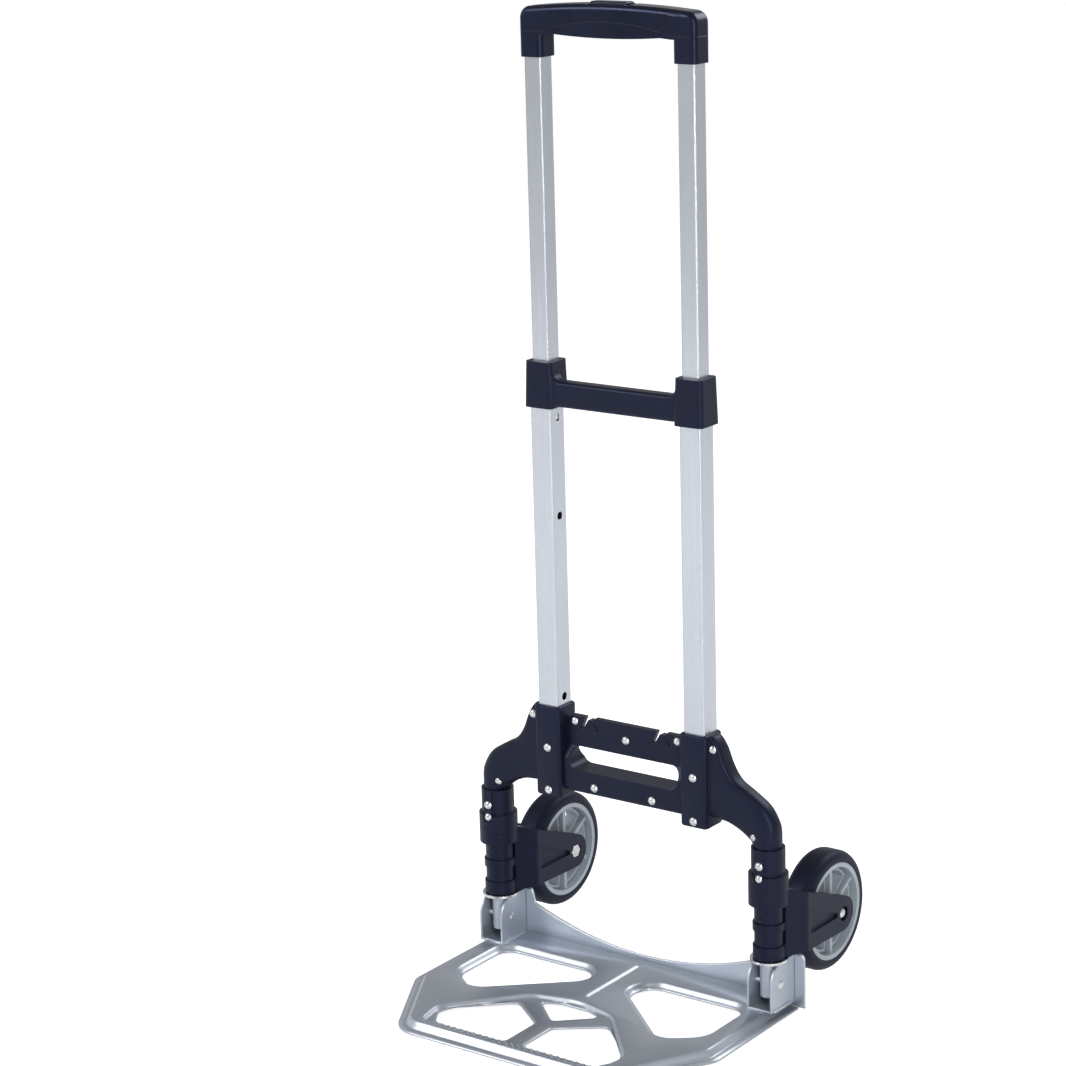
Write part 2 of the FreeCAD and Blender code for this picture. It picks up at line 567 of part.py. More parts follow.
# ---------------------------------------------------------------- side arms
for side_name, side in SIDES:
    label = "side_arm_" + side_name
    body = new_body(label)

    def at(x):
        return "%s*(%s)" % (side, x)
    run = "lower_pitch/2 - tube_pitch/2"
    edge = "%s + elbow_radius" % LOWER
    inner = "%s - elbow_radius" % LOWER
    # From the housing down to the elbow and back: each place across is a share of the run
    # between the rail and the lower tube, each height hangs from the housing or the elbow.
    arm = [(at(PITCH), "housing_top"), (at(PITCH), "housing_foot + 12.5"),
           (at("%s + 0.42*(%s)" % (PITCH, run)), "housing_foot + 11.5"),
           (at(inner), "elbow_foot",
            at("%s + 0.665*(%s)" % (PITCH, run)), "housing_foot + 3.5"),
           (at(LOWER), "elbow_foot"),
           (at(edge), "elbow_foot"),
           (at(edge), "elbow_foot + 9"),
           (at("%s + 0.75*(%s)" % (PITCH, run)), "housing_top - 54",
            at("%s + 2.2" % LOWER), "elbow_foot + 37.5"),
           (at("%s + 0.485*(%s)" % (PITCH, run)), "housing_top - 35",
            at("%s + 0.6*(%s)" % (PITCH, run)), "housing_top - 46"),
           (at("%s + housing/2 + 7.5" % PITCH), "housing_top - 2"),
           (at("%s + housing/2 + 3" % PITCH), "housing_top")]
    pad(body, draw(body, "XZ_Plane", "0", [arm]), "arm_deep", middle=True)
    pad(body, draw(body, "XY_Plane", "housing_foot", [square(at(PITCH), "0", "housing")]),
        "housing_top - housing_foot")
    fillet(body, along("z", *square(at(PITCH), "0", "housing")), "housing_corner")
    pad(body, draw(body, "XY_Plane", "spigot_foot", [("circle", at(LOWER), "0", "elbow_radius")]),
        "elbow_foot + elbow_sink - spigot_foot")
    pocket(body, draw(body, "XY_Plane", "housing_top", [square(at(PITCH), "0", "outer_tube")]),
           "housing_top - outer_foot")
    ledge = square(at(PITCH), "0", "outer_tube - 2*ledge_wide")
    pocket(body, draw(body, "XY_Plane", "outer_foot", [ledge]), "outer_foot - housing_foot")
    pocket(body, draw(body, "XY_Plane", "lower_top", [("circle", at(LOWER), "0", "lower_tube/2")]),
           "lower_top - spigot_foot")
    holes = [(at(PITCH), spot) for spot in HOUSING_RIVETS] + [(at(LOWER), STRAP_RIVETS[0])]
    holes += [(at(x), z) for x, z in (ARM_RIVET, ELBOW_RIVET)]
    cross_hole(body, "XZ_Plane", "housing", holes, "rivet_shank + 2*seat_gap", "2*housing")
    seat = [("circle", at(ELBOW_RIVET[0]), ELBOW_RIVET[1], "rivet_head/2 + gap")]
    pocket(body, draw(body, "XZ_Plane", "housing", seat), "housing - arm_deep/2")
    pocket(body, draw(body, "XZ_Plane", "-housing", seat), "housing - arm_deep/2", backwards=True)
    place(keep(body, label))

# ---------------------------------------------------------------- cross plate
EDGE = "%s - housing/2" % PITCH
body = new_body("cross_plate")


def hook_pair(middle):
    """Two slots that slant away from a round tooth, along the top edge of the plate."""
    half = [("hook_tooth + hook_slot + hook_slant", "hook_slot/2 - hook_deep"),
            ("hook_tooth + hook_slot", "0")]
    foot = ("hook_tooth + hook_slant", "hook_slot/2 - hook_deep",
            "hook_tooth + hook_slant + hook_slot/2", "-hook_deep")
    spots = [("-(%s)" % half[1][0], half[1][1]), ("-(%s)" % half[0][0], half[0][1]),
             ("-(%s)" % foot[0], foot[1], "-(%s)" % foot[2], foot[3]),
             ("-hook_tooth", "-hook_round"), ("hook_tooth", "-hook_round", "0", "-hook_round/2"),
             (foot[0], foot[1]), half[0] + (foot[2], foot[3]), half[1]]
    return [tuple("%s + (%s)" % (("plate_top" if index % 2 else middle), text)
                  for index, text in enumerate(spot)) for spot in spots]


notches = hook_pair("-hook_place") + hook_pair("hook_place")
side_edge = [(EDGE, "rail_top - plate_sink"), (EDGE, "plate_top - bevel_high"),
             ("%s - bevel_wide" % EDGE, "plate_top")]
outline = mirrored(side_edge) + notches + side_edge[::-1]
pad(body, draw(body, "XZ_Plane", "plate_front - plate_deep", [outline]), "plate_deep")
rail = [("-rail_front", "rail_foot"), ("rail_deep - rail_front", "rail_foot"),
        ("rail_deep - rail_front", "rail_top + rail_slope/2"), ("plate_deep - plate_front", "hand_top"),
        ("-plate_front", "hand_top"), ("-rail_front", "rail_top + rail_slope")]
pad(body, draw(body, "YZ_Plane", "0", [rail]), "2*(%s)" % EDGE, middle=True)
fillet(body, along("x", ("-rail_front", "rail_foot"), ("rail_deep - rail_front", "rail_foot")), "rail_edge")
hand = box("-hand_half", "hand_half", "rail_top", "hand_top")
pocket(body, draw(body, "XZ_Plane", "housing", [rounded(hand, "hand_corner")]), "2*housing")
cross_hole(body, "XZ_Plane", "housing", PLATE_RIVETS + RAIL_RIVETS, "rivet_shank + 2*seat_gap", "2*housing")
place(keep(body, "cross_plate"))


# ---------------------------------------------------------------- rivets, screws, pins
def headed(label, shank, length, head, dome, second_head=None):
    """Turn one fastener about its own axis: domed head, shank, closing head."""
    body = new_body(label)
    # the dome's middle lies at 0.72 of its height and 0.31 of the head's width from the axis
    profile = [("-(%s)" % dome, "0"), ("0", "(%s)/2" % head, "-0.72*(%s)" % dome, "0.31*(%s)" % head),
               ("0", "(%s)/2" % shank), (length, "(%s)/2" % shank)]
    if second_head:
        profile += [(length, "(%s)/2" % second_head),
                    ("%s + 0.6*(%s)" % (length, dome), "(%s)*0.3" % second_head),
                    ("%s + 0.6*(%s)" % (length, dome), "0")]
    else:
        profile += [(length, "0")]
    revolve(body, draw(body, "XY_Plane", "0", [profile]))
    return body


def fasteners(label, pattern, places, turn):
    """Copy one fastener to several places; its head looks along the turned -X axis."""
    solids = []
    for x, y, z in places:
        copy = pattern.Shape.copy()
        copy.Placement = Placement(Vector(number(x), number(y), number(z)), turn)
        solids.append(copy)
    item = doc.addObject("Part::Feature", label)
    item.Shape = Part.makeCompound(solids)
    return place(keep(item, label))


TO_REAR = Rotation(Vector(0, 0, 1), 90)
doc.recompute()
rivet_sets = (
    ("housing_rivets", "housing", "-housing/2",
     [(x, z) for x in ("-tube_pitch/2", "tube_pitch/2") for z in HOUSING_RIVETS]),
    ("arm_rivets", "arm_deep", "-arm_deep/2",
     [("%s*(%s)" % (sign, x), z) for sign in ("-1", "1") for x, z in (ARM_RIVET, ELBOW_RIVET)]),
    ("plate_rivets", "plate_deep", "-plate_front", PLATE_RIVETS),
    ("rail_rivets", "rail_deep", "-rail_front", RAIL_RIVETS),
    ("collar_rivets", "strip_front + ring_radius", "-strip_front",
     [("%s*%s" % (sign, LOWER), z) for sign in ("-1", "1") for z in STRAP_RIVETS]),
)
for label, length, front, spots in rivet_sets:
    rivet = headed(label + "_one", "rivet_shank", length, "rivet_head", "rivet_dome",
                   second_head="rivet_head*0.8")
    doc.recompute()
    fasteners(label, rivet, [(x, front, z) for x, z in spots], TO_REAR)

screw = headed("sleeve_screw_one", "screw_shank", "sleeve_radius - lower_tube/2 + lower_wall",
               "screw_head", "screw_dome")
doc.recompute()
fasteners("sleeve_screws", screw,
          [("%s*%s" % (sign, LOWER), "-sleeve_radius", "screw_height") for sign in ("-1", "1")], TO_REAR)

# ---------------------------------------------------------------- lower tubes and sleeves
for side_name, side in SIDES:
    tube = new_body("lower_tube_" + side_name)
    pad(tube, draw(tube, "XY_Plane", "lower_foot", [("circle", "0", "0", "lower_tube/2"),
                                                    ("circle", "0", "0", "lower_tube/2 - lower_wall")]),
        "lower_top - lower_foot")
    cross_hole(tube, "YZ_Plane", "-lower_tube", [("0", "hinge_height")], "hinge_pin + 2*fit",
               "2*lower_tube", backwards=True)
    cross_hole(tube, "XZ_Plane", "lower_tube", [("0", spot) for spot in STRAP_RIVETS],
               "rivet_shank + 2*seat_gap", "2*lower_tube")
    cross_hole(tube, "XZ_Plane", "lower_tube", [("0", "screw_height")], "screw_shank", "lower_tube")
    place(keep(tube, "lower_tube_" + side_name), x="%s*%s" % (side, LOWER))

    sleeve = new_body("guide_sleeve_" + side_name)
    pad(sleeve, draw(sleeve, "XY_Plane", "sleeve_foot", [("circle", "0", "0", "sleeve_radius"),
                                                         ("circle", "0", "0", "lower_tube/2")]),
        "spigot_foot - sleeve_foot")
    cross_hole(sleeve, "XZ_Plane", "cam_radius", [("0", "screw_height")], "screw_shank", "cam_radius")
    cross_hole(sleeve, "XZ_Plane", "cam_radius", [("0", STRAP_RIVETS[1])],
               "rivet_shank + 2*seat_gap", "2*cam_radius")
    place(keep(sleeve, "guide_sleeve_" + side_name), x="%s*%s" % (side, LOWER))

    washer = new_body("lift_washer_" + side_name)
    pad(washer, draw(washer, "XY_Plane", "washer_foot", [("circle", "0", "0", "washer_radius"),
                                                         ("circle", "0", "0", "lower_tube/2 + gap")]),
        "washer_thick - gap")
    place(keep(washer, "lift_washer_" + side_name), x="%s*%s" % (side, LOWER))


def helical_knife(name, side, upwards, near, far):
    """A solid on one side of a two-start helical face, in two half turns.

    The face falls by cam_step over each half turn and jumps back up at the step.
    """
    step, middle, turn = number("cam_step"), number("seam_mid"), number("cam_turn")
    reach = number("4*cam_step")
    gap = number("gap") / 2
    parts = []
    for start in (0, 1):
        # a left-hand thread rises clockwise, so it falls counter-clockwise
        edges = [Part.makeHelix(2 * step, step, radius, 0, side == "1") for radius in (near, far)]
        face = Part.makeRuledSurface(edges[0].Edges[0], edges[1].Edges[0])
        lift = reach if upwards else -reach
        solid = face.extrude(Vector(0, 0, lift))
        angle = turn + 180 * start
        low = middle - step / 2 - gap if upwards else middle - step / 2 + gap
        if side == "-1":
            angle = 180 - angle
        solid.Placement = Placement(Vector(0, 0, low), Rotation(Vector(0, 0, 1), angle))
        parts.append(solid)
    item = doc.addObject("Part::Feature", name)
    item.Shape = Part.makeCompound(parts)
    return item


# ---------------------------------------------------------------- cam collars
for side_name, side in SIDES:
    ring = new_body("collar_ring_" + side_name)
    pad(ring, draw(ring, "XY_Plane", "spigot_foot", [("circle", "0", "0", "ring_radius"),
                                                     ("circle", "0", "0", "elbow_radius")]),
        "elbow_foot - spigot_foot")
    pad(ring, draw(ring, "XY_Plane", "cam_foot", [("circle", "0", "0", "cam_radius"),
                                                  ("circle", "0", "0", "sleeve_radius")]),
        "spigot_foot - cam_foot")
    strip = box("-strip_wide/2", "strip_wide/2", "-strip_front", "-sleeve_radius - bite")
    pad(ring, draw(ring, "XY_Plane", "cam_top", [strip]), "elbow_foot - cam_top - overrun")
    cross_hole(ring, "XZ_Plane", "2*cam_radius", [("0", spot) for spot in STRAP_RIVETS],
               "rivet_shank + 2*seat_gap", "4*cam_radius")
    seat = [("circle", "0", STRAP_RIVETS[1], "rivet_head/2 + gap")]
    pocket(ring, draw(ring, "XZ_Plane", "2*cam_radius", seat), "2*cam_radius - strip_front")
    pocket(ring, draw(ring, "XZ_Plane", "-2*cam_radius", seat), "2*cam_radius - ring_radius", backwards=True)
    knife = helical_knife("collar_knife_" + side_name, side, False, number("lower_tube/2"),
                          number("cam_radius + bite"))
    collar = doc.addObject("Part::Cut", "cam_collar_" + side_name)
    collar.Base = ring
    collar.Tool = knife
    place(keep(collar, "cam_collar_" + side_name), x="%s*%s" % (side, LOWER))


# ---------------------------------------------------------------- forks
AXLE = ("axle_back", "axle_height")
for side_name, side in SIDES:
    body = new_body("fork_frame_" + side_name)
    crown = [("-sleeve_radius - crown_cheek", "crown_front"), ("sleeve_radius + crown_cheek", "crown_front"),
             ("fork_half", "crown_back - crown_side"), ("fork_half", "crown_back"),
             ("-fork_half", "crown_back"), ("-fork_half", "crown_back - crown_side")]
    crown = rounded(crown, ["0", "0", "crown_round", "0", "0", "crown_round"])
    pad(body, draw(body, "XY_Plane", "sleeve_foot + gap", [crown]),
        "fork_top - fork_slope*crown_front - sleeve_foot")
    above = [("0", "fork_top"), ("2*crown_back", "fork_top - fork_slope*2*crown_back"),
             ("2*crown_back", "fork_top + fork_end"), ("0", "fork_top + fork_end")]
    pocket(body, draw(body, "YZ_Plane", "0", [above]), "3*fork_half", middle=True)
    # the round end runs on to where it meets the sloping top edge
    blade = [("crown_back - crown_lap", "sleeve_foot + gap"), ("axle_back", "axle_height - fork_end"),
             ("axle_back + fork_end", "axle_height", "axle_back + %s*fork_end" % ARC_HALF,
              "axle_height - %s*fork_end" % ARC_HALF),
             ("axle_back + 0.374*fork_end", "axle_height + 0.9274*fork_end",
              "axle_back + 0.829*fork_end", "axle_height + 0.559*fork_end"),
             ("crown_back - crown_lap", "fork_top - fork_slope*(crown_back - crown_lap)")]
    for sign in ("-1", "1"):
        level = "fork_half - arm_thick" if sign == "1" else "-fork_half"
        pad(body, draw(body, "YZ_Plane", level, [blade]), "arm_thick")
        recess = [("crown_back + pocket_start", "axle_height"), ("axle_back - pocket_end", "axle_height"),
                  ("axle_back - pocket_end", "axle_height + pocket_low"),
                  ("crown_back + pocket_start", "axle_height + pocket_high")]
        pocket(body, draw(body, "YZ_Plane", "%s*fork_half" % sign, [recess]), "pocket_deep",
               backwards=(sign == "-1"))
        pocket(body, draw(body, "YZ_Plane", "%s*fork_half" % sign,
                          [("circle", AXLE[0], AXLE[1], "bolt_head/2 + bolt_gap")]), "bolt_head_high",
               backwards=(sign == "-1"))
    for low, high in (("band_low", "band_high"), ("sleeve_foot + gap", "foot_band_top")):
        band = draw(body, "XY_Plane", low, [("circle", "0", "0", "band_radius")])
        pad(body, band, "%s - (%s)" % (high, low))
    pad(body, draw(body, "XY_Plane", "cam_foot", [("circle", "0", "0", "cam_radius")]), "cam_top - cam_foot")
    pocket(body, draw(body, "XY_Plane", "cam_top", [("circle", "0", "0", "sleeve_radius + gap")]),
           "cam_top - sleeve_foot")
    pocket(body, draw(body, "YZ_Plane", "0", [("circle", AXLE[0], AXLE[1], "axle_diameter/2")]),
           "3*fork_half", middle=True)
    knife = helical_knife("fork_knife_" + side_name, side, True, number("lower_tube/2"),
                          number("cam_radius + bite"))
    fork = doc.addObject("Part::Cut", "fork_" + side_name)
    fork.Base = body
    fork.Tool = knife
    place(keep(fork, "fork_" + side_name), x="%s*%s" % (side, LOWER))

    bolt = headed("axle_bolt_" + side_name, "axle_diameter",
                  "2*fork_half - bolt_head_high - bolt_end", "bolt_head", "bolt_head_high")
    bolt.Placement.Rotation = Rotation(Vector(0, 0, 1), 180 if side == "1" else 0)
    place(keep(bolt, "axle_bolt_" + side_name),
          x="%s*(%s + fork_half - bolt_head_high)" % (side, LOWER), y=AXLE[0], z=AXLE[1])

    nut = new_body("axle_nut_" + side_name)
    reach = 1 / math.sqrt(3)  # from the middle of a hexagon of width 1 to a corner
    hexagon = [("nut_wide*%.5f" % (reach * math.cos(math.radians(60 * turn))),
                "nut_wide*%.5f" % (reach * math.sin(math.radians(60 * turn)))) for turn in range(6)]
    pad(nut, draw(nut, "YZ_Plane", "0", [hexagon]), "nut_high - nut_inset")
    pocket(nut, draw(nut, "YZ_Plane", "nut_high", [("circle", "0", "0", "axle_diameter/2")]), "2*nut_high")
    nut_at = ("%s - fork_half + nut_inset" if side == "1" else "-(%s) + fork_half - nut_high") % LOWER
    place(keep(nut, "axle_nut_" + side_name), x=nut_at, y=AXLE[0], z=AXLE[1])

    inner_face = "fork_half - arm_thick"
    outer_face = "rim_wide/2 + gap"
    rings = []
    for sign in (-1, 1):
        long = number("%s - (%s)" % (inner_face, outer_face))
        start = Vector(sign * number(outer_face) - (long if sign < 0 else 0), 0, 0)
        ring = Part.makeCylinder(number("axle_diameter/2 + spacer_wall"), long, start, Vector(1, 0, 0))
        rings.append(ring.cut(Part.makeCylinder(number("axle_diameter/2"), long, start, Vector(1, 0, 0))))
    spacers = doc.addObject("Part::Feature", "axle_spacers_" + side_name)
    spacers.Shape = Part.makeCompound(rings)
    place(keep(spacers, "axle_spacers_" + side_name), x="%s*%s" % (side, LOWER), y=AXLE[0], z=AXLE[1])

# ---------------------------------------------------------------- wheels
SPOKES = 6


def tread_rim(edge):
    """True for the two circles at the sides of the tread."""
    return edge.Curve.TypeId == "Part::GeomCircle" and abs(edge.Curve.Radius - number("wheel_radius")) < NEAR


for side_name, side in SIDES:
    tyre = new_body("tyre_" + side_name)
    section = box("-tyre_wide/2", "tyre_wide/2", "rim_radius", "wheel_radius")
    revolve(tyre, draw(tyre, "XY_Plane", "0", [section]))
    fillet(tyre, tread_rim, "tyre_shoulder")
    place(keep(tyre, "tyre_" + side_name), x="%s*%s" % (side, LOWER), y=AXLE[0], z=AXLE[1])

    hub = new_body("hub_" + side_name)
    rim_inner = "rim_radius - rim_wall"
    half = [("rim_wide/2", "rim_radius"), ("rim_wide/2", rim_inner), ("web_thick/2", rim_inner),
            ("web_thick/2", "boss_radius"), ("rim_wide/2", "boss_radius"), ("rim_wide/2", "bush_radius")]
    outline = half + [("-(%s)" % x, y) for x, y in reversed(half)]
    revolve(hub, draw(hub, "XY_Plane", "0", [outline]))
    window, frame = [
        [("-window_narrow" + less, "boss_radius + window_foot" + less),
         ("window_narrow" + more, "boss_radius + window_foot" + less),
         ("window_wide" + more, "%s - window_rim%s" % (rim_inner, more)),
         ("-window_wide" + less, "%s - window_rim%s" % (rim_inner, more),
          "0", "%s - window_rim + window_bow%s" % (rim_inner, more))]
        for less, more in (("", ""), (" - window_wall", " + window_wall"))]
    beside = 180 / SPOKES  # the windows lie halfway between the spokes
    wall = pad(hub, draw(hub, "YZ_Plane", "0", [turned(frame, beside)]), "window_deep", middle=True)
    cut = pocket(hub, draw(hub, "YZ_Plane", "0", [turned(window, beside)]), "2*window_deep", middle=True)
    spoke = box("-spoke_thick/2", "spoke_thick/2", "boss_radius - overrun", "%s + overrun" % rim_inner)
    rib = pad(hub, draw(hub, "YZ_Plane", "0", [spoke]), "spoke_wide", middle=True)
    axis = [feature for feature in hub.Origin.OriginFeatures if feature.Role == "X_Axis"][0]
    ring = hub.newObject("PartDesign::PolarPattern", "hub_pattern_" + side_name)
    ring.Originals = [wall, cut, rib]
    ring.Axis = (axis, [""])
    ring.Angle = 360
    ring.Occurrences = SPOKES
    hub.Tip = ring
    place(keep(hub, "hub_" + side_name), x="%s*%s" % (side, LOWER), y=AXLE[0], z=AXLE[1])

    bush = new_body("wheel_bush_" + side_name)
    pad(bush, draw(bush, "YZ_Plane", "0", [("circle", "0", "0", "bush_radius"),
                                           ("circle", "0", "0", "axle_diameter/2 + fit")]),
        "rim_wide", middle=True)
    place(keep(bush, "wheel_bush_" + side_name), x="%s*%s" % (side, LOWER), y=AXLE[0], z=AXLE[1])

    guide = new_body("slide_bush_" + side_name)
    pad(guide, draw(guide, "XY_Plane", "inner_foot",
                    [rounded(square("0", "0", "outer_tube - 2*outer_wall - 2*gap"),
                             "outer_corner - 0.8*outer_wall"), square("0", "0", "inner_tube")]),
        "(lock_high - lock_hole/2 - inner_foot) / 2")
    place(keep(guide, "slide_bush_" + side_name), x="%s*tube_pitch/2" % side)


# ---------------------------------------------------------------- toe plate
plate = new_body("toe_plate")
SIDE_END, NOSE = "toe_front - toe_side", "toe_nose_half + nose_bevel"
border = [("-toe_half", "toe_rear"), ("-toe_half", "-(%s)" % SIDE_END), ("-(%s)" % NOSE, "-toe_front"),
          (NOSE, "-toe_front"), ("toe_half", "-(%s)" % SIDE_END), ("toe_half", "toe_rear")]


def corners(inset):
    toe, nose = "toe_corner - (%s)" % inset, "nose_corner - (%s)" % inset
    return ["0", toe, nose, nose, toe, "0"]


pad(plate, draw(plate, "XY_Plane", "0", [rounded(border, corners("0"))]), "sheet_thick")
panel = widened(border, "-rim_step")
panel[0] = (panel[0][0], "toe_rear")
panel[5] = (panel[5][0], "toe_rear")
pad(plate, draw(plate, "XY_Plane", "sheet_thick", [rounded(panel, corners("rim_step"))]),
    "panel_top - sheet_thick")
fillet(plate, lambda edge: abs(edge.BoundBox.ZMin - number("panel_top")) < NEAR and
       edge.BoundBox.YMin < number("toe_rear - bite"), "rim_bend")
inside = widened(panel, "-sheet_thick")
pocket(plate, draw(plate, "XY_Plane", "0", [rounded(inside, corners("rim_step + sheet_thick"))]),
       "panel_top - sheet_thick", backwards=True)

rear_hole = [("toe_half - hole_side", "toe_rear - hole_rear"),
             ("hole_inner + hole_bevel", "toe_rear - hole_rear"),
             ("hole_inner", "-hole_neck"), ("hole_tip", "hole_front - toe_front"),
             ("toe_half - hole_side", "hole_front + hole_rise - toe_front")]
rear_radii = ["12", "12", "10", "16", "22"]
right = [("toe_nose_half/2", "recess_back - recess_fall - toe_front"),
         ("toe_nose_half + recess_wide", "recess_side - toe_front"),
         ("toe_nose_half + recess_narrow", "recess_front - toe_front")]
recess = [("0", "recess_back - toe_front")] + right + mirrored(right)[::-1]
recess_radii = ["60", "20", "16", "10", "10", "16", "20"]


def dish(outline, radii, drop):
    """Press a flat-bottomed dish into the panel: a wall and floor of sheet below, a pocket above."""
    floor_top = "panel_top - %s" % drop
    around = rounded(widened(outline, "sheet_thick"), ["%s + sheet_thick" % radius for radius in radii])
    pad(plate, draw(plate, "XY_Plane", "%s - sheet_thick" % floor_top, [around]), "%s + bite" % drop)
    pocket(plate, draw(plate, "XY_Plane", "panel_top", [rounded(outline, radii)]), drop)


for loop in (rear_hole, mirrored(rear_hole)):
    dish(widened(loop, "hole_wall"), ["%s + hole_wall" % radius for radius in rear_radii], "hole_drop")
dish(recess, recess_radii, "recess_drop")
for loop in (rear_hole, mirrored(rear_hole)):
    pocket(plate, draw(plate, "XY_Plane", "panel_top", [rounded(loop, rear_radii)]), "panel_top")
# the front holes leave three webs that meet in the middle of the recess
side_hole = [("web_half", "82 - toe_front"), ("56", "115 - toe_front"),
             ("toe_nose_half + 2", "72 - toe_front"), ("toe_nose_half + recess_narrow", "54 - toe_front"),
             ("toe_nose_half - 5", "nose_hole - toe_front"), ("web_half", "nose_hole - toe_front")]
back_hole = [("-37", "129 - toe_front"), ("-17", "137 - toe_front"), ("17", "137 - toe_front"),
             ("37", "129 - toe_front"), ("0", "96 - toe_front")]
for loop in (side_hole, mirrored(side_hole), back_hole):
    pocket(plate, draw(plate, "XY_Plane", "panel_top", [rounded(loop, "hole_edge")]), "panel_top")
ridge = box("-rib_wide/2", "rib_wide/2", "-rib_front", "rib_rear")
pad(plate, draw(plate, "XY_Plane", "panel_top - bite", [ridge]), "rib_rise + bite")
flange = [("-tab_half", "sheet_thick"), ("tab_half", "sheet_thick"), ("tab_half", "tab_top"),
          ("flange_half", "tab_top"), ("flange_half", "flange_high"),
          ("-flange_half", "flange_high", "0", "flange_low"), ("-flange_half", "tab_top"),
          ("-tab_half", "tab_top")]
pad(plate, draw(plate, "XZ_Plane", "-toe_rear", [flange]), "sheet_thick")
fillet(plate, along("y", ("-tab_half", "tab_top"), ("tab_half", "tab_top")), "tab_corner")

# ---------------------------------------------------------------- hinge brackets
LIFT = "washer_foot - gap - hinge_height"


def cam_point(angle):
    """Point of the lifting edge that touches the washer after a fold of angle degrees."""
    sine, cosine = math.sin(math.radians(angle)), math.cos(math.radians(angle))
    reach = "(%s - cam_drop*%.5f)" % (LIFT, angle / 90)
    slide = "cam_drop*%.5f" % (2 / math.pi)
    return ("-%s*%.6f + %s*%.6f" % (reach, sine, slide, cosine),
            "hinge_height + %s*%.6f + %s*%.6f" % (reach, cosine, slide, sine))


for side_name, side in SIDES:
    bracket = new_body("bracket_" + side_name)
    front, seat = cam_point(90)[0], "panel_top - seat_drop"
    middle = "%s*%s" % (side, LOWER)
    sunk = box("%s - bracket_half" % middle, "%s + bracket_half" % middle, front, "bracket_rear")
    pocket(plate, draw(plate, "XY_Plane", "panel_top", [sunk]), "seat_drop")
    base = box("-bracket_half", "bracket_half", front, "bracket_rear")
    pad(bracket, draw(bracket, "XY_Plane", seat, [base]), "sheet_thick")
    cheek = [(front, seat), ("bracket_rear", seat), ("bracket_rear", "hinge_height + %s" % LIFT),
             cam_point(0), cam_point(45) + cam_point(22.5), cam_point(90) + cam_point(67.5)]
    for level in ("-bracket_half", "bracket_half - sheet_thick"):
        pad(bracket, draw(bracket, "YZ_Plane", level, [cheek]), "sheet_thick")
    pocket(bracket, draw(bracket, "YZ_Plane", "0", [("circle", "0", "hinge_height", "hinge_pin/2")]),
           "3*bracket_half", middle=True)
    place(keep(bracket, "bracket_" + side_name), x=middle)
place(keep(plate, "toe_plate"))

pivot = headed("hinge_pin_one", "hinge_pin", "2*bracket_half", "hinge_head", "hinge_head_high",
               second_head="hinge_head*0.8")
doc.recompute()
pins = []
for side_name, side in SIDES:
    copy = pivot.Shape.copy()
    turn = Rotation(Vector(0, 0, 1), 180 if side == "1" else 0)
    copy.Placement = Placement(Vector(number("%s*(%s + bracket_half)" % (side, LOWER)), 0,
                                      number("hinge_height")), turn)
    pins.append(copy)
item = doc.addObject("Part::Feature", "hinge_pins")
item.Shape = Part.makeCompound(pins)
place(keep(item, "hinge_pins"))

# ---------------------------------------------------------------- export
doc.recompute()
for item in doc.Objects:
    if "Invalid" in item.State or "Error" in item.State:
        raise RuntimeError("failed: " + item.Name)
os.makedirs("parts", exist_ok=True)
for label, item in nodes.items():
    if item.Shape.isNull() or not item.Shape.isValid():
        raise RuntimeError("bad shape: " + label)
    item.Shape.exportStep("parts/%s.step" % label)
print(len(nodes), "pieces")
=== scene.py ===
import json
import math

import bmesh
import bpy
import numpy as np
from mathutils import Matrix, Vector
from mathutils.geometry import tessellate_polygon


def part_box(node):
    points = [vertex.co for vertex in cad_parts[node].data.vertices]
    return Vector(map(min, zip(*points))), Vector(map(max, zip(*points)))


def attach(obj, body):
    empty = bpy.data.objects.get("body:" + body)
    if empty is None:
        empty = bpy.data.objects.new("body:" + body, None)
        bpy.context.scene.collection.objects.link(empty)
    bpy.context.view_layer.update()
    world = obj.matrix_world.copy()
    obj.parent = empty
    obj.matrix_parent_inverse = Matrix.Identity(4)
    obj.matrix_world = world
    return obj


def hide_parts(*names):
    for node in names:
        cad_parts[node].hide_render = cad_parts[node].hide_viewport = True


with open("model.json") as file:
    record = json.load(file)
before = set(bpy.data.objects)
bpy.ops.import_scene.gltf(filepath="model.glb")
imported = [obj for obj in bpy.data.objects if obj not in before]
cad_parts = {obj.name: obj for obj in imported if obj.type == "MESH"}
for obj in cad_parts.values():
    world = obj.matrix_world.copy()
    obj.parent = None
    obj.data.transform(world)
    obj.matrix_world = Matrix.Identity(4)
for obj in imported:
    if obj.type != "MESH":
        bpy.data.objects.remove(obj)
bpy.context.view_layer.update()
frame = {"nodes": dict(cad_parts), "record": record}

bl_info = {
    "name": "Folding Hand Truck",
    "version": (1, 0, 0),
    "blender": (4, 5, 0),
    "location": "View3D > Sidebar > Hand Truck",
    "description": "Finishes and moulded details for a folding hand truck",
    "category": "Object",
}

MM = 0.001


SHEET_UP = (0, 0, 1)
FLANGE_FRONT = (0, -1, 0)

# side arm
HOUSING_HALF = 16 * MM
HOUSING_CORNER = 4 * MM
BORE_CORNER = 1.5 * MM
BORE_GAP = 0.1 * MM
FOOT_DROP = 2 * MM
ROUND_HALF = 14.5 * MM
FLAT_DEPTH, MIDDLE_DEPTH = 11.2 * MM, 13.5 * MM

# anti-slip dimples, from the front edge and the underside of the toe plate
DIMPLE_ROWS = 3
DIMPLE_PITCH = 8 * MM
DIMPLE_REACH = 96 * MM
DIMPLE_FRONT, DIMPLE_STEP = 21.2 * MM, 3.4 * MM
RECESS_RISE = 6 * MM

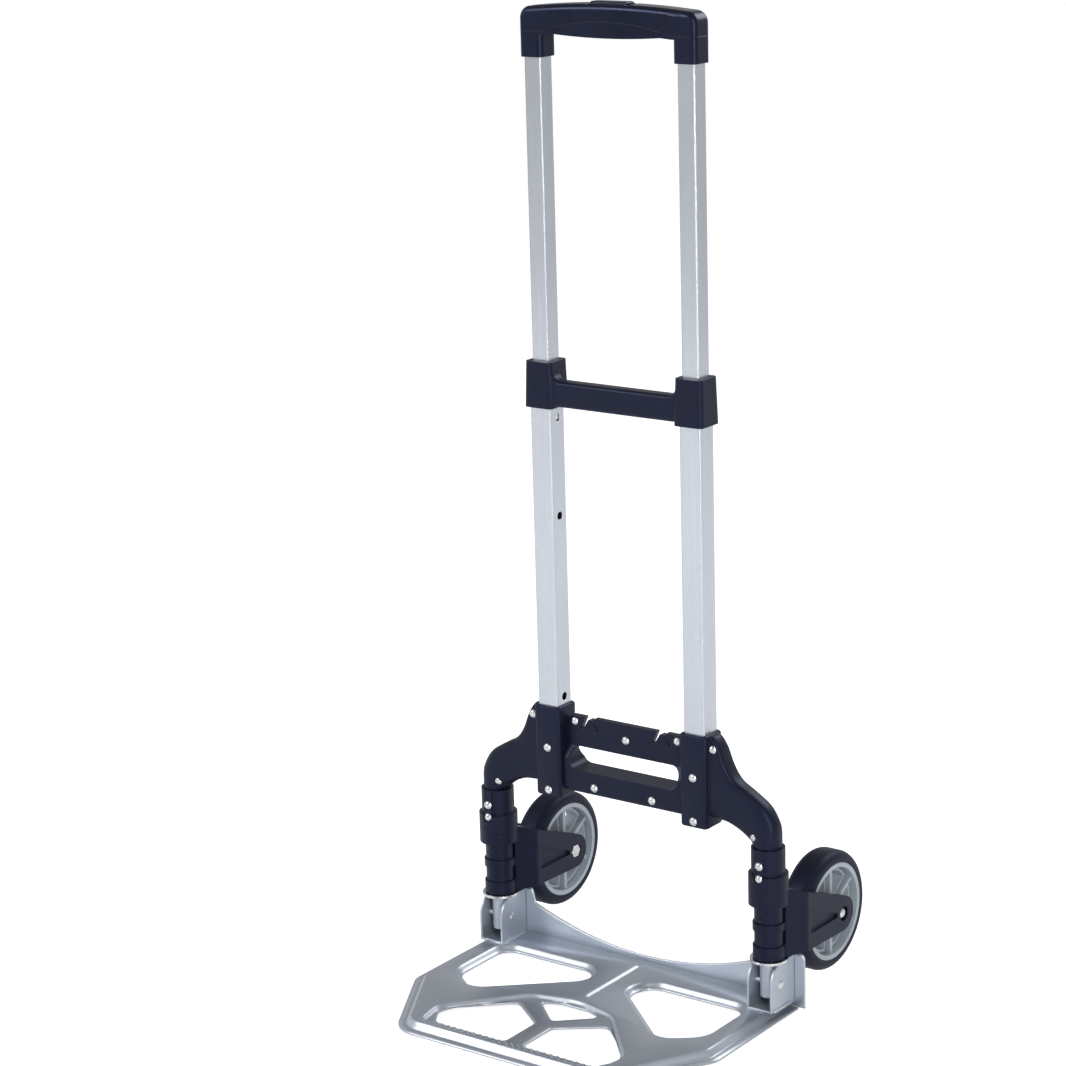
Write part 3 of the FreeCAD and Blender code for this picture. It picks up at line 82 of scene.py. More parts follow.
# camera: angles in degrees, and the place from the rails' plane
CAMERA_AZIMUTH, CAMERA_ELEVATION, CAMERA_ROLL = 36.633, 14.779, -1.618
CAMERA_X, CAMERA_BEFORE_RAILS, CAMERA_Z = 1.6772, 2.4077, 1.2603
LIGHTS = (("key_light", (-1.9, -2.7, 2.4), 1.2, 1.2, 56.0),
          ("strip_light", (2.6, -2.1, 1.3), 0.30, 2.6, 46.0),
          ("back_light", (0.9, 2.6, 2.4), 1.6, 1.2, 34.0))
LIGHT_TARGET = (0, 0, 0.45)
FLOOR_REACH = 12.0


# ------------------------------------------------------------------ settings
def colour(name, text, value):
    return bpy.props.FloatVectorProperty(name=name, description=text, default=value, size=3,
                                         min=0.0, max=1.0, subtype="COLOR")


def length(name, text, value):
    return bpy.props.FloatProperty(name=name, description=text, default=value, min=0.0,
                                   unit="LENGTH", precision=5)


class HandTruckFinish(bpy.types.PropertyGroup):
    """Colours of the finishes."""

    rail: colour("Rail", "Satin anodised aluminium of the telescopic rails", (0.62, 0.655, 0.715))
    plastic: colour("Plastic", "Black moulded plastic", (0.0060, 0.0072, 0.0165))
    paint: colour("Paint", "Silver metallic paint of the toe plate", (0.50, 0.54, 0.605))
    zinc: colour("Zinc", "Bright zinc of rivets and pins", (0.78, 0.79, 0.80))
    rubber: colour("Rubber", "Smooth tyre rubber", (0.0060, 0.0070, 0.0160))
    hub: colour("Hub", "Pale grey plastic of the wheel centres", (0.40, 0.45, 0.50))
    floor: colour("Floor", "Studio floor and background", (0.93, 0.93, 0.93))


class HandTruckShape(bpy.types.PropertyGroup):
    """Sizes of the moulded and pressed details."""

    edge_radius: length("Edge radius", "Rounding that the light shows on moulded edges", 0.0011)
    dimple_radius: length("Dimple radius", "Radius of one anti-slip dimple", 0.0020)
    dimple_rise: length("Dimple rise", "Height of one anti-slip dimple", 0.0012)
    weld_radius: length("Weld radius", "Radius of the weld beads under the hinge brackets", 0.0022)
    camera_lens: bpy.props.FloatProperty(name="Camera lens", description="Focal length of the camera",
                                         default=101.39, min=10.0, unit="CAMERA")


# ------------------------------------------------------------------ node groups
class Group:
    """A shader node group under construction."""

    def __init__(self, name, inputs, outputs):
        self.tree = bpy.data.node_groups.new(name, "ShaderNodeTree")
        for label, kind, value in inputs:
            socket = self.tree.interface.new_socket(label, in_out="INPUT", socket_type=kind)
            socket.default_value = value
        for label, kind in outputs:
            self.tree.interface.new_socket(label, in_out="OUTPUT", socket_type=kind)
        self.inside = self.tree.nodes.new("NodeGroupInput")
        self.outside = self.tree.nodes.new("NodeGroupOutput")

    def add(self, kind, settings=None, **links):
        return add_node(self.tree, kind, settings, links)

    def give(self, label, socket):
        self.tree.links.new(socket, self.outside.inputs[label])


def add_node(tree, kind, settings=None, links=None):
    """Add a node, set its properties and connect or fill its inputs.

    Input names use underscores for blanks; a trailing number picks one of several like-named inputs.
    """
    node = tree.nodes.new(kind)
    for key, value in (settings or {}).items():
        setattr(node, key, value)
    for key, value in (links or {}).items():
        socket = node.inputs[int(key[1:])] if key[0] == "i" and key[1:].isdigit() \
            else node.inputs[key.replace("_", " ")]
        if isinstance(value, bpy.types.NodeSocket):
            tree.links.new(value, socket)
        else:
            socket.default_value = value
    return node


FLOAT = "NodeSocketFloat"


def make_grain_group():
    """Moulded or blasted grain: two sizes of noise give a height, and broad noise a shine value."""
    group = Group("SurfaceGrain", [("Scale", FLOAT, 900.0), ("Patch Scale", FLOAT, 14.0)],
                  [("Height", FLOAT), ("Patch", FLOAT)])
    place = group.add("ShaderNodeTexCoord").outputs["Object"]
    fine = group.add("ShaderNodeTexNoise", Vector=place, Scale=group.inside.outputs["Scale"],
                     Detail=3.0, Roughness=0.6)
    cells = group.add("ShaderNodeTexVoronoi", Vector=place, Scale=group.inside.outputs["Scale"])
    mixed = group.add("ShaderNodeMath", {"operation": "MULTIPLY_ADD"}, i0=cells.outputs["Distance"],
                      i1=0.5, i2=fine.outputs["Fac"])
    broad = group.add("ShaderNodeTexNoise", Vector=place, Scale=group.inside.outputs["Patch Scale"],
                      Detail=4.0, Roughness=0.55)
    group.give("Height", mixed.outputs[0])
    group.give("Patch", broad.outputs["Fac"])
    return group.tree


def make_lines_group():
    """Fine drawn lines along Z: noise squeezed along Z and stretched across."""
    group = Group("DrawnLines", [("Across", FLOAT, 1500.0), ("Along", FLOAT, 6.0)], [("Lines", FLOAT)])
    place = group.add("ShaderNodeTexCoord").outputs["Object"]
    stretch = group.add("ShaderNodeCombineXYZ", X=group.inside.outputs["Across"],
                        Y=group.inside.outputs["Across"], Z=group.inside.outputs["Along"])
    spot = group.add("ShaderNodeVectorMath", {"operation": "MULTIPLY"}, i0=place, i1=stretch.outputs[0])
    noise = group.add("ShaderNodeTexNoise", Vector=spot.outputs[0], Scale=1.0, Detail=2.0)
    group.give("Lines", noise.outputs["Fac"])
    return group.tree


def make_edge_highlight_group():
    """Painted edge highlight: a mask where the rounded normal leaves the flat one, broken up by noise, for
    laying a lighter colour along edges.
    """
    group = Group("EdgeHighlight", [("Radius", FLOAT, 0.0012), ("Amount", FLOAT, 0.6), ("Scale", FLOAT, 90.0)],
                  [("Edge", FLOAT)])
    soft = group.add("ShaderNodeBevel", {"samples": 4}, Radius=group.inside.outputs["Radius"])
    hard = group.add("ShaderNodeNewGeometry")
    angle = group.add("ShaderNodeVectorMath", {"operation": "DOT_PRODUCT"}, i0=soft.outputs[0],
                      i1=hard.outputs["True Normal"])
    bend = group.add("ShaderNodeMapRange", Value=angle.outputs["Value"], From_Min=0.995, From_Max=0.80,
                     To_Min=0.0, To_Max=1.0)
    place = group.add("ShaderNodeTexCoord").outputs["Object"]
    noise = group.add("ShaderNodeTexNoise", Vector=place, Scale=group.inside.outputs["Scale"], Detail=3.0)
    broken = group.add("ShaderNodeMapRange", Value=noise.outputs["Fac"], From_Min=0.3, From_Max=0.7,
                       To_Min=0.35, To_Max=1.0)
    both = group.add("ShaderNodeMath", {"operation": "MULTIPLY"}, i0=bend.outputs[0], i1=broken.outputs[0])
    final = group.add("ShaderNodeMath", {"operation": "MULTIPLY", "use_clamp": True}, i0=both.outputs[0],
                      i1=group.inside.outputs["Amount"])
    group.give("Edge", final.outputs[0])
    return group.tree


class Finish:
    """A material with a Principled shader, built from the shared groups."""

    def __init__(self, name, metallic=0.0, coat=0.0, specular=0.5, sheen=(1.0, 1.0, 1.0)):
        self.material = bpy.data.materials.new(name)
        self.material.use_nodes = True
        self.tree = self.material.node_tree
        self.shader = self.tree.nodes["Principled BSDF"]
        self.shader.inputs["Metallic"].default_value = metallic
        self.shader.inputs["Coat Weight"].default_value = coat
        self.shader.inputs["Coat Roughness"].default_value = 0.15
        self.shader.inputs["Specular IOR Level"].default_value = specular
        self.shader.inputs["Specular Tint"].default_value = (*sheen, 1.0)

    def add(self, kind, settings=None, **links):
        return add_node(self.tree, kind, settings, links)

    def group(self, tree, **links):
        return add_node(self.tree, "ShaderNodeGroup", {"node_tree": tree}, links)

    def feed(self, label, socket):
        self.tree.links.new(socket, self.shader.inputs[label])

    def spread(self, value, low, high):
        return self.add("ShaderNodeMapRange", Value=value, From_Min=0.3, From_Max=0.7,
                        To_Min=low, To_Max=high).outputs[0]

    def tint(self, factor, first, second):
        mix = self.add("ShaderNodeMix", {"data_type": "RGBA"}, i0=factor)
        mix.inputs[6].default_value = (*first, 1.0)
        mix.inputs[7].default_value = (*second, 1.0)
        return mix.outputs[2]

    def lay(self, factor, base, over):
        """Lay a plain colour over a colour socket by a mask."""
        mix = self.add("ShaderNodeMix", {"data_type": "RGBA"}, i0=factor)
        self.tree.links.new(base, mix.inputs[6])
        mix.inputs[7].default_value = (*over, 1.0)
        return mix.outputs[2]

    def relief(self, height, strength, distance, radius):
        """Bump over a normal that is rounded at the edges."""
        soft = self.add("ShaderNodeBevel", {"samples": 4}, Radius=radius)
        bump = self.add("ShaderNodeBump", Height=height, Strength=strength, Distance=distance,
                        Normal=soft.outputs[0])
        self.feed("Normal", bump.outputs[0])


def shade(base, factor):
    return tuple(min(1.0, part * factor) for part in base)


def make_finishes():
    """Build every finish and return them by name."""
    look = bpy.context.scene.hand_truck_finish
    shape = bpy.context.scene.hand_truck_shape
    grain, lines, edge_highlight = make_grain_group(), make_lines_group(), make_edge_highlight_group()
    finishes = {}

    def moulded(name, base, rough, scale, highlight_tint, radius, highlight_amount=0.7, specular=0.34,
                sheen=(0.50, 0.58, 1.0)):
        finish = Finish(name, specular=specular, sheen=sheen)
        noise = finish.group(grain, Scale=scale, Patch_Scale=16.0)
        edge = finish.group(edge_highlight, Radius=radius, Amount=highlight_amount, Scale=70.0)
        patch = finish.spread(noise.outputs["Patch"], 0.0, 1.0)
        body = finish.tint(patch, shade(base, 0.86), shade(base, 1.16))
        # painted highlight: a lighter colour laid along the rounded edges where the bevelled normal bends
        finish.feed("Base Color", finish.lay(edge.outputs["Edge"], body, highlight_tint))
        finish.feed("Roughness", finish.spread(noise.outputs["Patch"], rough - 0.05, rough + 0.06))
        finish.relief(noise.outputs["Height"], 0.16, 0.0002, radius)
        finishes[name] = finish.material

    plastic = tuple(look.plastic)
    # the colour after the grain scale is the painted edge highlight, the base made several times lighter
    moulded("black_plastic", plastic, 0.40, 1500.0, shade(plastic, 5.0), shape.edge_radius)
    moulded("black_plastic_smooth", plastic, 0.30, 2200.0, shade(plastic, 4.0), shape.edge_radius, 0.35)
    moulded("hub_plastic", tuple(look.hub), 0.42, 1500.0, shade(look.hub, 1.4), 0.0008, specular=0.5,
            sheen=(1.0, 1.0, 1.0))
    moulded("tyre_rubber", tuple(look.rubber), 0.50, 900.0, shade(look.rubber, 2.2), 0.0006)

    def aluminium(name, tones, rough, edge_radius, highlight_amount, highlight_tint):
        """Drawn aluminium with painted highlights along the edges; gives the finish and its drawn lines."""
        finish = Finish(name, metallic=0.92)
        drawn = finish.group(lines, Across=1700.0, Along=5.0).outputs["Lines"]
        noise = finish.group(grain, Scale=1800.0, Patch_Scale=9.0)
        edge = finish.group(edge_highlight, Radius=edge_radius, Amount=highlight_amount, Scale=12.0)
        body = finish.tint(finish.spread(drawn, 0.0, 1.0), shade(look.rail, tones[0]),
                           shade(look.rail, tones[1]))
        # painted highlight: a near-white colour laid along the corners, standing in for the streak of
        # reflected light
        finish.feed("Base Color", finish.lay(edge.outputs["Edge"], body, highlight_tint))
        finish.feed("Roughness", finish.spread(noise.outputs["Patch"], *rough))
        finishes[name] = finish.material
        return finish, drawn

    # the last colour of each rail finish is its painted corner highlight
    rail, drawn = aluminium("rail_aluminium", (0.94, 1.05), (0.24, 0.32), 0.0018, 0.8, (0.88, 0.89, 0.91))
    rail.relief(drawn, 0.05, 0.0001, 0.0012)

    ribbed = aluminium("ribbed_aluminium", (0.96, 1.08), (0.20, 0.28), 0.0030, 1.0, (0.97, 0.98, 1.0))[0]
    place = ribbed.add("ShaderNodeTexCoord").outputs["Object"]
    across = ribbed.add("ShaderNodeSeparateXYZ", Vector=place).outputs["X"]
    turns = ribbed.add("ShaderNodeMath", {"operation": "MULTIPLY"}, i0=across, i1=2 * math.pi / 0.0021)
    wave = ribbed.add("ShaderNodeMath", {"operation": "SINE"}, i0=turns.outputs[0])
    ribbed.relief(wave.outputs[0], 0.35, 0.00015, 0.0026)

    paint = Finish("silver_paint", metallic=0.80, coat=0.12)
    noise = paint.group(grain, Scale=2600.0, Patch_Scale=11.0)
    edge = paint.group(edge_highlight, Radius=0.0016, Amount=0.45, Scale=80.0)
    body = paint.tint(paint.spread(noise.outputs["Height"], 0.0, 1.0), shade(look.paint, 0.93),
                      shade(look.paint, 1.08))
    # painted highlight: a pale colour laid along the edges of the pressed sheet
    paint.feed("Base Color", paint.lay(edge.outputs["Edge"], body, (0.72, 0.75, 0.80)))
    paint.feed("Roughness", paint.spread(noise.outputs["Patch"], 0.33, 0.45))
    paint.relief(noise.outputs["Patch"], 0.06, 0.0006, 0.0016)
    finishes["silver_paint"] = paint.material

    zinc = Finish("bright_zinc", metallic=1.0)
    noise = zinc.group(grain, Scale=1400.0, Patch_Scale=120.0)
    body = zinc.tint(zinc.spread(noise.outputs["Patch"], 0.0, 1.0), shade(look.zinc, 0.85),
                     shade(look.zinc, 1.05))
    zinc.feed("Base Color", body)
    zinc.feed("Roughness", zinc.spread(noise.outputs["Patch"], 0.18, 0.32))
    zinc.relief(noise.outputs["Height"], 0.08, 0.0001, 0.0005)
    finishes["bright_zinc"] = zinc.material

    floor = Finish("studio_floor", specular=0.1)
    noise = floor.group(grain, Scale=60.0, Patch_Scale=1.5)
    tone = tuple(look.floor)
    floor.feed("Base Color", floor.tint(noise.outputs["Patch"], shade(tone, 0.995), tone))
    floor.shader.inputs["Roughness"].default_value = 0.9
    floor.shader.inputs["Emission Color"].default_value = (*tone, 1.0)
    seen = floor.add("ShaderNodeLightPath").outputs["Is Camera Ray"]
    glow = floor.add("ShaderNodeMapRange", Value=seen, To_Min=0.18, To_Max=0.72)
    floor.feed("Emission Strength", glow.outputs[0])
    finishes["studio_floor"] = floor.material
    return finishes


FINISH_OF_SLOT = {"rail_aluminium": "rail_aluminium", "black_plastic": "black_plastic",
                  "silver_paint": "silver_paint", "zinc_steel": "bright_zinc",
                  "tyre_rubber": "tyre_rubber", "hub_plastic": "hub_plastic"}
OTHER_FINISH = {"inner_tube_left": "ribbed_aluminium", "inner_tube_right": "ribbed_aluminium",
                "handle_upper_shell": "black_plastic_smooth", "handle_lower_shell": "black_plastic_smooth",
                "release_button": "black_plastic_smooth", "sleeve_screws": "black_plastic",
                "lift_washer_left": "bright_zinc", "lift_washer_right": "bright_zinc"}


def dress(piece, material):
    piece.data.materials.clear()
    piece.data.materials.append(material)


# ------------------------------------------------------------------ numpy surfaces
def grid_surface(points, closed_u=False, closed_v=True, caps=(False, False)):
    """Points and faces of a grid (rows along u, columns along v), with optional end caps."""
    rows, columns, _ = points.shape
    flat = points.reshape(-1, 3)
    u = np.arange(rows if closed_u else rows - 1)
    v = np.arange(columns if closed_v else columns - 1)
    uu, vv = np.meshgrid(u, v, indexing="ij")
    un, vn = (uu + 1) % rows, (vv + 1) % columns
    quads = np.stack([uu * columns + vv, un * columns + vv, un * columns + vn, uu * columns + vn], -1)
    faces = [tuple(face) for face in quads.reshape(-1, 4).tolist()]
    if caps[0]:
        faces.append(tuple(range(columns)))
    if caps[1]:
        faces.append(tuple(range(rows * columns - 1, (rows - 1) * columns - 1, -1)))
    return flat, faces


def new_piece(name, parts, material, body, replaced=(), smooth_angle=40.0, up=None):
    """Put one or more surfaces into one object that rides on a body.

    An open sheet gives the direction that its outer side faces; a closed surface faces outwards.
    """
    vertices, faces, start = [], [], 0
    for flat, some in parts:
        vertices.append(flat)
        faces.extend(tuple(index + start for index in face) for face in some)
        start += len(flat)
    mesh = bpy.data.meshes.new(name)
    mesh.from_pydata(np.concatenate(vertices).tolist(), [], faces)
    mesh.update()
    piece = bpy.data.objects.new(name, mesh)
    bpy.context.scene.collection.objects.link(piece)
    tidy_mesh(piece, smooth_angle, up)
    dress(piece, material)
    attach(piece, body)
    if replaced:
        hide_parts(*replaced)
    return piece


def tidy_mesh(piece, smooth_angle, up):
    """Merge seams, turn faces outwards and shade smooth below an angle."""
    work = bmesh.new()
    work.from_mesh(piece.data)
    bmesh.ops.remove_doubles(work, verts=work.verts, dist=1e-6)
    bmesh.ops.recalc_face_normals(work, faces=work.faces)
    if up and sum((face.normal * face.calc_area() for face in work.faces), Vector()).dot(Vector(up)) < 0:
        bmesh.ops.reverse_faces(work, faces=work.faces)
    limit = math.radians(smooth_angle)
    for edge in work.edges:
        edge.smooth = len(edge.link_faces) != 2 or edge.calc_face_angle(0.0) < limit
    for face in work.faces:
        face.smooth = True
    work.to_mesh(piece.data)
    work.free()


def smooth_curve(points, count):
    """Catmull-Rom curve through the points, sampled evenly by parameter."""
    points = np.asarray(points, float)
    ends = np.vstack([2 * points[0] - points[1], points, 2 * points[-1] - points[-2]])
    where = np.linspace(0, len(points) - 1, count)
    index = np.minimum(where.astype(int), len(points) - 2)
    t = (where - index)[:, None]
    p0, p1, p2, p3 = (ends[index + shift] for shift in range(4))
    return 0.5 * (2 * p1 + (p2 - p0) * t + (2 * p0 - 5 * p1 + 4 * p2 - p3) * t ** 2 +
                  (3 * p1 - p0 - 3 * p2 + p3) * t ** 3)


def superellipse(power, count):
    """Cosine and sine raised so that the power bends a circle (2) towards a square (large)."""
    angle = np.linspace(0, 2 * np.pi, count, endpoint=False)
    cosine, sine = np.cos(angle), np.sin(angle)
    power = np.atleast_1d(power)[:, None]
    return (np.sign(cosine) * np.abs(cosine) ** (2 / power), np.sign(sine) * np.abs(sine) ** (2 / power))


# ------------------------------------------------------------------ pieces
def rounded_square(half, corner, count):
    """Outline of a square with round corners: quarter circles moved out to the four corners."""
    angle = np.linspace(0, 2 * np.pi, count, endpoint=False) + np.pi / count
    x, y = np.cos(angle), np.sin(angle)
    return (half - corner) * np.sign(x) + corner * x, (half - corner) * np.sign(y) + corner * y


def housing_surface(middle_x, middle_y, low, top, half, bore, corner):
    """A square sleeve: the outline is carried up with a rolled top and foot rim, and back down the bore."""
    roll = 0.0022
    rims = [(low, half - roll, 0), (low + 0.3 * roll, half - 0.3 * roll, 0), (low + roll, half, 0),
            (top - roll, half, 0), (top - 0.6 * roll, half - 0.08 * roll, 0),
            (top - 0.3 * roll, half - 0.3 * roll, 0), (top - 0.08 * roll, half - 0.6 * roll, 0),
            (top, half - roll, 0), (top, bore, 1), (low, bore, 1)]
    rows = []
    for height, size, inner in rims:
        x, y = rounded_square(size, BORE_CORNER if inner else corner, 48)
        rows.append(np.stack([middle_x + x, middle_y + y, np.full_like(x, height)], -1))
    return grid_surface(np.array(rows), closed_u=True)


def arm_surface(side, middle_y, outer, inner, deep, power):
    """A bowed arm: ellipse-like sections between an outer and an inner edge line.

    Each section lies between matching points of the two edge lines; its depth goes from the
    flat arm to the round elbow, and its power from almost square to round.
    """
    count = 60
    outer_line, inner_line = smooth_curve(outer, count), smooth_curve(inner, count)
    share = np.linspace(0, 1, count)
    depth = np.interp(share, *deep)[:, None]
    cosine, sine = superellipse(np.interp(share, *power), 40)
    middle, half = (outer_line + inner_line) / 2, (outer_line - inner_line) / 2
    x = side * (middle[:, :1] + half[:, :1] * cosine)
    z = middle[:, 1:] + half[:, 1:] * cosine
    y = middle_y + depth * sine
    return grid_surface(np.stack([x, y, z], -1), caps=(True, True))


class HANDTRUCK_OT_side_arms(bpy.types.Operator):
    """Make the two side arms: a square housing on each rail and a bowed arm down to the round elbow."""

    bl_idname = "handtruck.side_arms"
    bl_label = "Side arms"

    def execute(self, context):
        for name, side in (("left", -1), ("right", 1)):
            node = "side_arm_" + name
            tube_low, tube_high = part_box("outer_tube_" + name)
            stem_low, stem_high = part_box("lower_tube_" + name)
            rail_x = abs(tube_low[0] + tube_high[0]) / 2
            stem_x = abs(stem_low[0] + stem_high[0]) / 2
            middle_y = (tube_low[1] + tube_high[1]) / 2
            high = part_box(node)[1]
            foot, top = tube_low[2] - FOOT_DROP, high[2]
            bore = (tube_high[0] - tube_low[0]) / 2 + BORE_GAP
            housing = housing_surface(side * rail_x, middle_y, foot, top, HOUSING_HALF, bore,
                                      HOUSING_CORNER)
            start, root = rail_x + 0.008, rail_x + 0.0132
            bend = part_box("cam_collar_" + name)[1][2]
            outer = [(root, top - 0.001), (start + 0.012, top - 0.0012), (start + 0.0195, top - 0.011),
                     (start + 0.0275, top - 0.030), (start + 0.038, top - 0.044),
                     (start + 0.055, top - 0.054), (start + 0.073, top - 0.066),
                     (stem_x + 0.0125, bend + 0.0245), (stem_x + ROUND_HALF - 0.0002, bend + 0.009),
                     (stem_x + ROUND_HALF, bend - 0.001)]
            inner = [(root, foot + 0.012), (start + 0.012, foot + 0.0118), (start + 0.020, foot + 0.0112),
                     (start + 0.0265, foot + 0.0105), (start + 0.033, foot + 0.0085),
                     (start + 0.041, foot + 0.005), (start + 0.048, foot + 0.0005),
                     (stem_x - ROUND_HALF - 0.002, bend + 0.0035), (stem_x - ROUND_HALF, bend),
                     (stem_x - ROUND_HALF, bend - 0.001)]
            arm = arm_surface(side, middle_y, outer, inner,
                              ([0, 0.45, 0.8, 0.95, 1],
                               [FLAT_DEPTH, FLAT_DEPTH, MIDDLE_DEPTH, ROUND_HALF, ROUND_HALF]),
                              ([0, 0.3, 0.75, 0.95, 1], [6.0, 5.0, 2.6, 2.0, 2.0]))
            new_piece("side_arm_shell_" + name, [housing, arm], FINISHES["black_plastic"], "frame",
                      replaced=[node])
        return {"FINISHED"}


def rounded_outline(corners, radii, steps=9):
    """Closed outline of a convex polygon with round corners, and its outward normals.

    Each corner becomes an arc about a centre that lies radius / sin(half the angle) inside it;
    the arc's points are its two end directions blended by the sines of their shares of the turn.
    """
    corners = np.asarray(corners, float)
    back, on = np.roll(corners, 1, 0) - corners, np.roll(corners, -1, 0) - corners
    back /= np.linalg.norm(back, axis=1, keepdims=True)
    on /= np.linalg.norm(on, axis=1, keepdims=True)
    half = np.arccos((back * on).sum(1)) / 2
    radii = np.broadcast_to(np.asarray(radii, float), half.shape)[:, None]
    half = half[:, None]
    middle = (back + on) / np.linalg.norm(back + on, axis=1, keepdims=True)
    centre = corners + middle * radii / np.sin(half)
    start = (corners + back * radii / np.tan(half) - centre) / radii
    end = (corners + on * radii / np.tan(half) - centre) / radii
    share, turn = np.linspace(0, 1, steps)[:, None, None], np.pi - 2 * half
    normal = (np.sin((1 - share) * turn) * start + np.sin(share * turn) * end) / np.sin(turn)
    return ((centre + normal * radii).transpose(1, 0, 2).reshape(-1, 2),
            normal.transpose(1, 0, 2).reshape(-1, 2))


def pressed_wall(outline, width, high, low, steps=9):
    """A wall pressed into sheet along an outline: from the outline outwards by width.

    The height follows half a cosine from low, at the outline, to high.
    """
    spots, normals = outline
    share = np.linspace(0, 1, steps)
    height = low + (high - low) * (0.5 - 0.5 * np.cos(np.pi * share))
    plan = spots + normals * (share * width)[:, None, None]
    return np.concatenate([plan, np.broadcast_to(height[:, None, None], (steps, len(spots), 1))], -1)


def flat_sheet(loops, height):
    """Fill the space between an outer loop and the loops inside it at one height."""
    rings = [[Vector((x, y, height)) for x, y in loop] for loop in loops]
    faces = [tuple(face) for face in tessellate_polygon(rings)]
    spots = np.concatenate([np.asarray(loop) for loop in loops])
    return np.concatenate([spots, np.full((len(spots), 1), height)], -1), faces


def sheet_modifier(piece, thick):
    wall = piece.modifiers.new("sheet", "SOLIDIFY")
    wall.thickness = thick
    wall.offset = -1.0
    wall.use_even_offset = False


class HANDTRUCK_OT_toe_plate(bpy.types.Operator):
    """Press the toe plate from one sheet, with rolled lips at the holes, and stand the flange behind it."""

    bl_idname = "handtruck.toe_plate"
    bl_label = "Toe plate"

    def execute(self, context):
        plan = PlatePlan()
        parts = plan.rim() + plan.panel() + plan.recess_floor()
        for outline in plan.rear_holes:
            parts.append(grid_surface(pressed_wall(outline, plan.lip, plan.top, plan.lip_foot)))
        parts.append(grid_surface(pressed_wall(plan.recess, plan.wall, plan.top, plan.floor)))
        parts.append(plan.rib())
        plate = new_piece("pressed_toe_plate", parts, FINISHES["silver_paint"], "toe",
                          replaced=["toe_plate"], smooth_angle=60.0, up=SHEET_UP)
        sheet_modifier(plate, plan.sheet)
        flange = new_piece("toe_flange", [plan.flange()], FINISHES["silver_paint"], "toe",
                           up=FLANGE_FRONT)
        sheet_modifier(flange, plan.sheet)
        return {"FINISHED"}


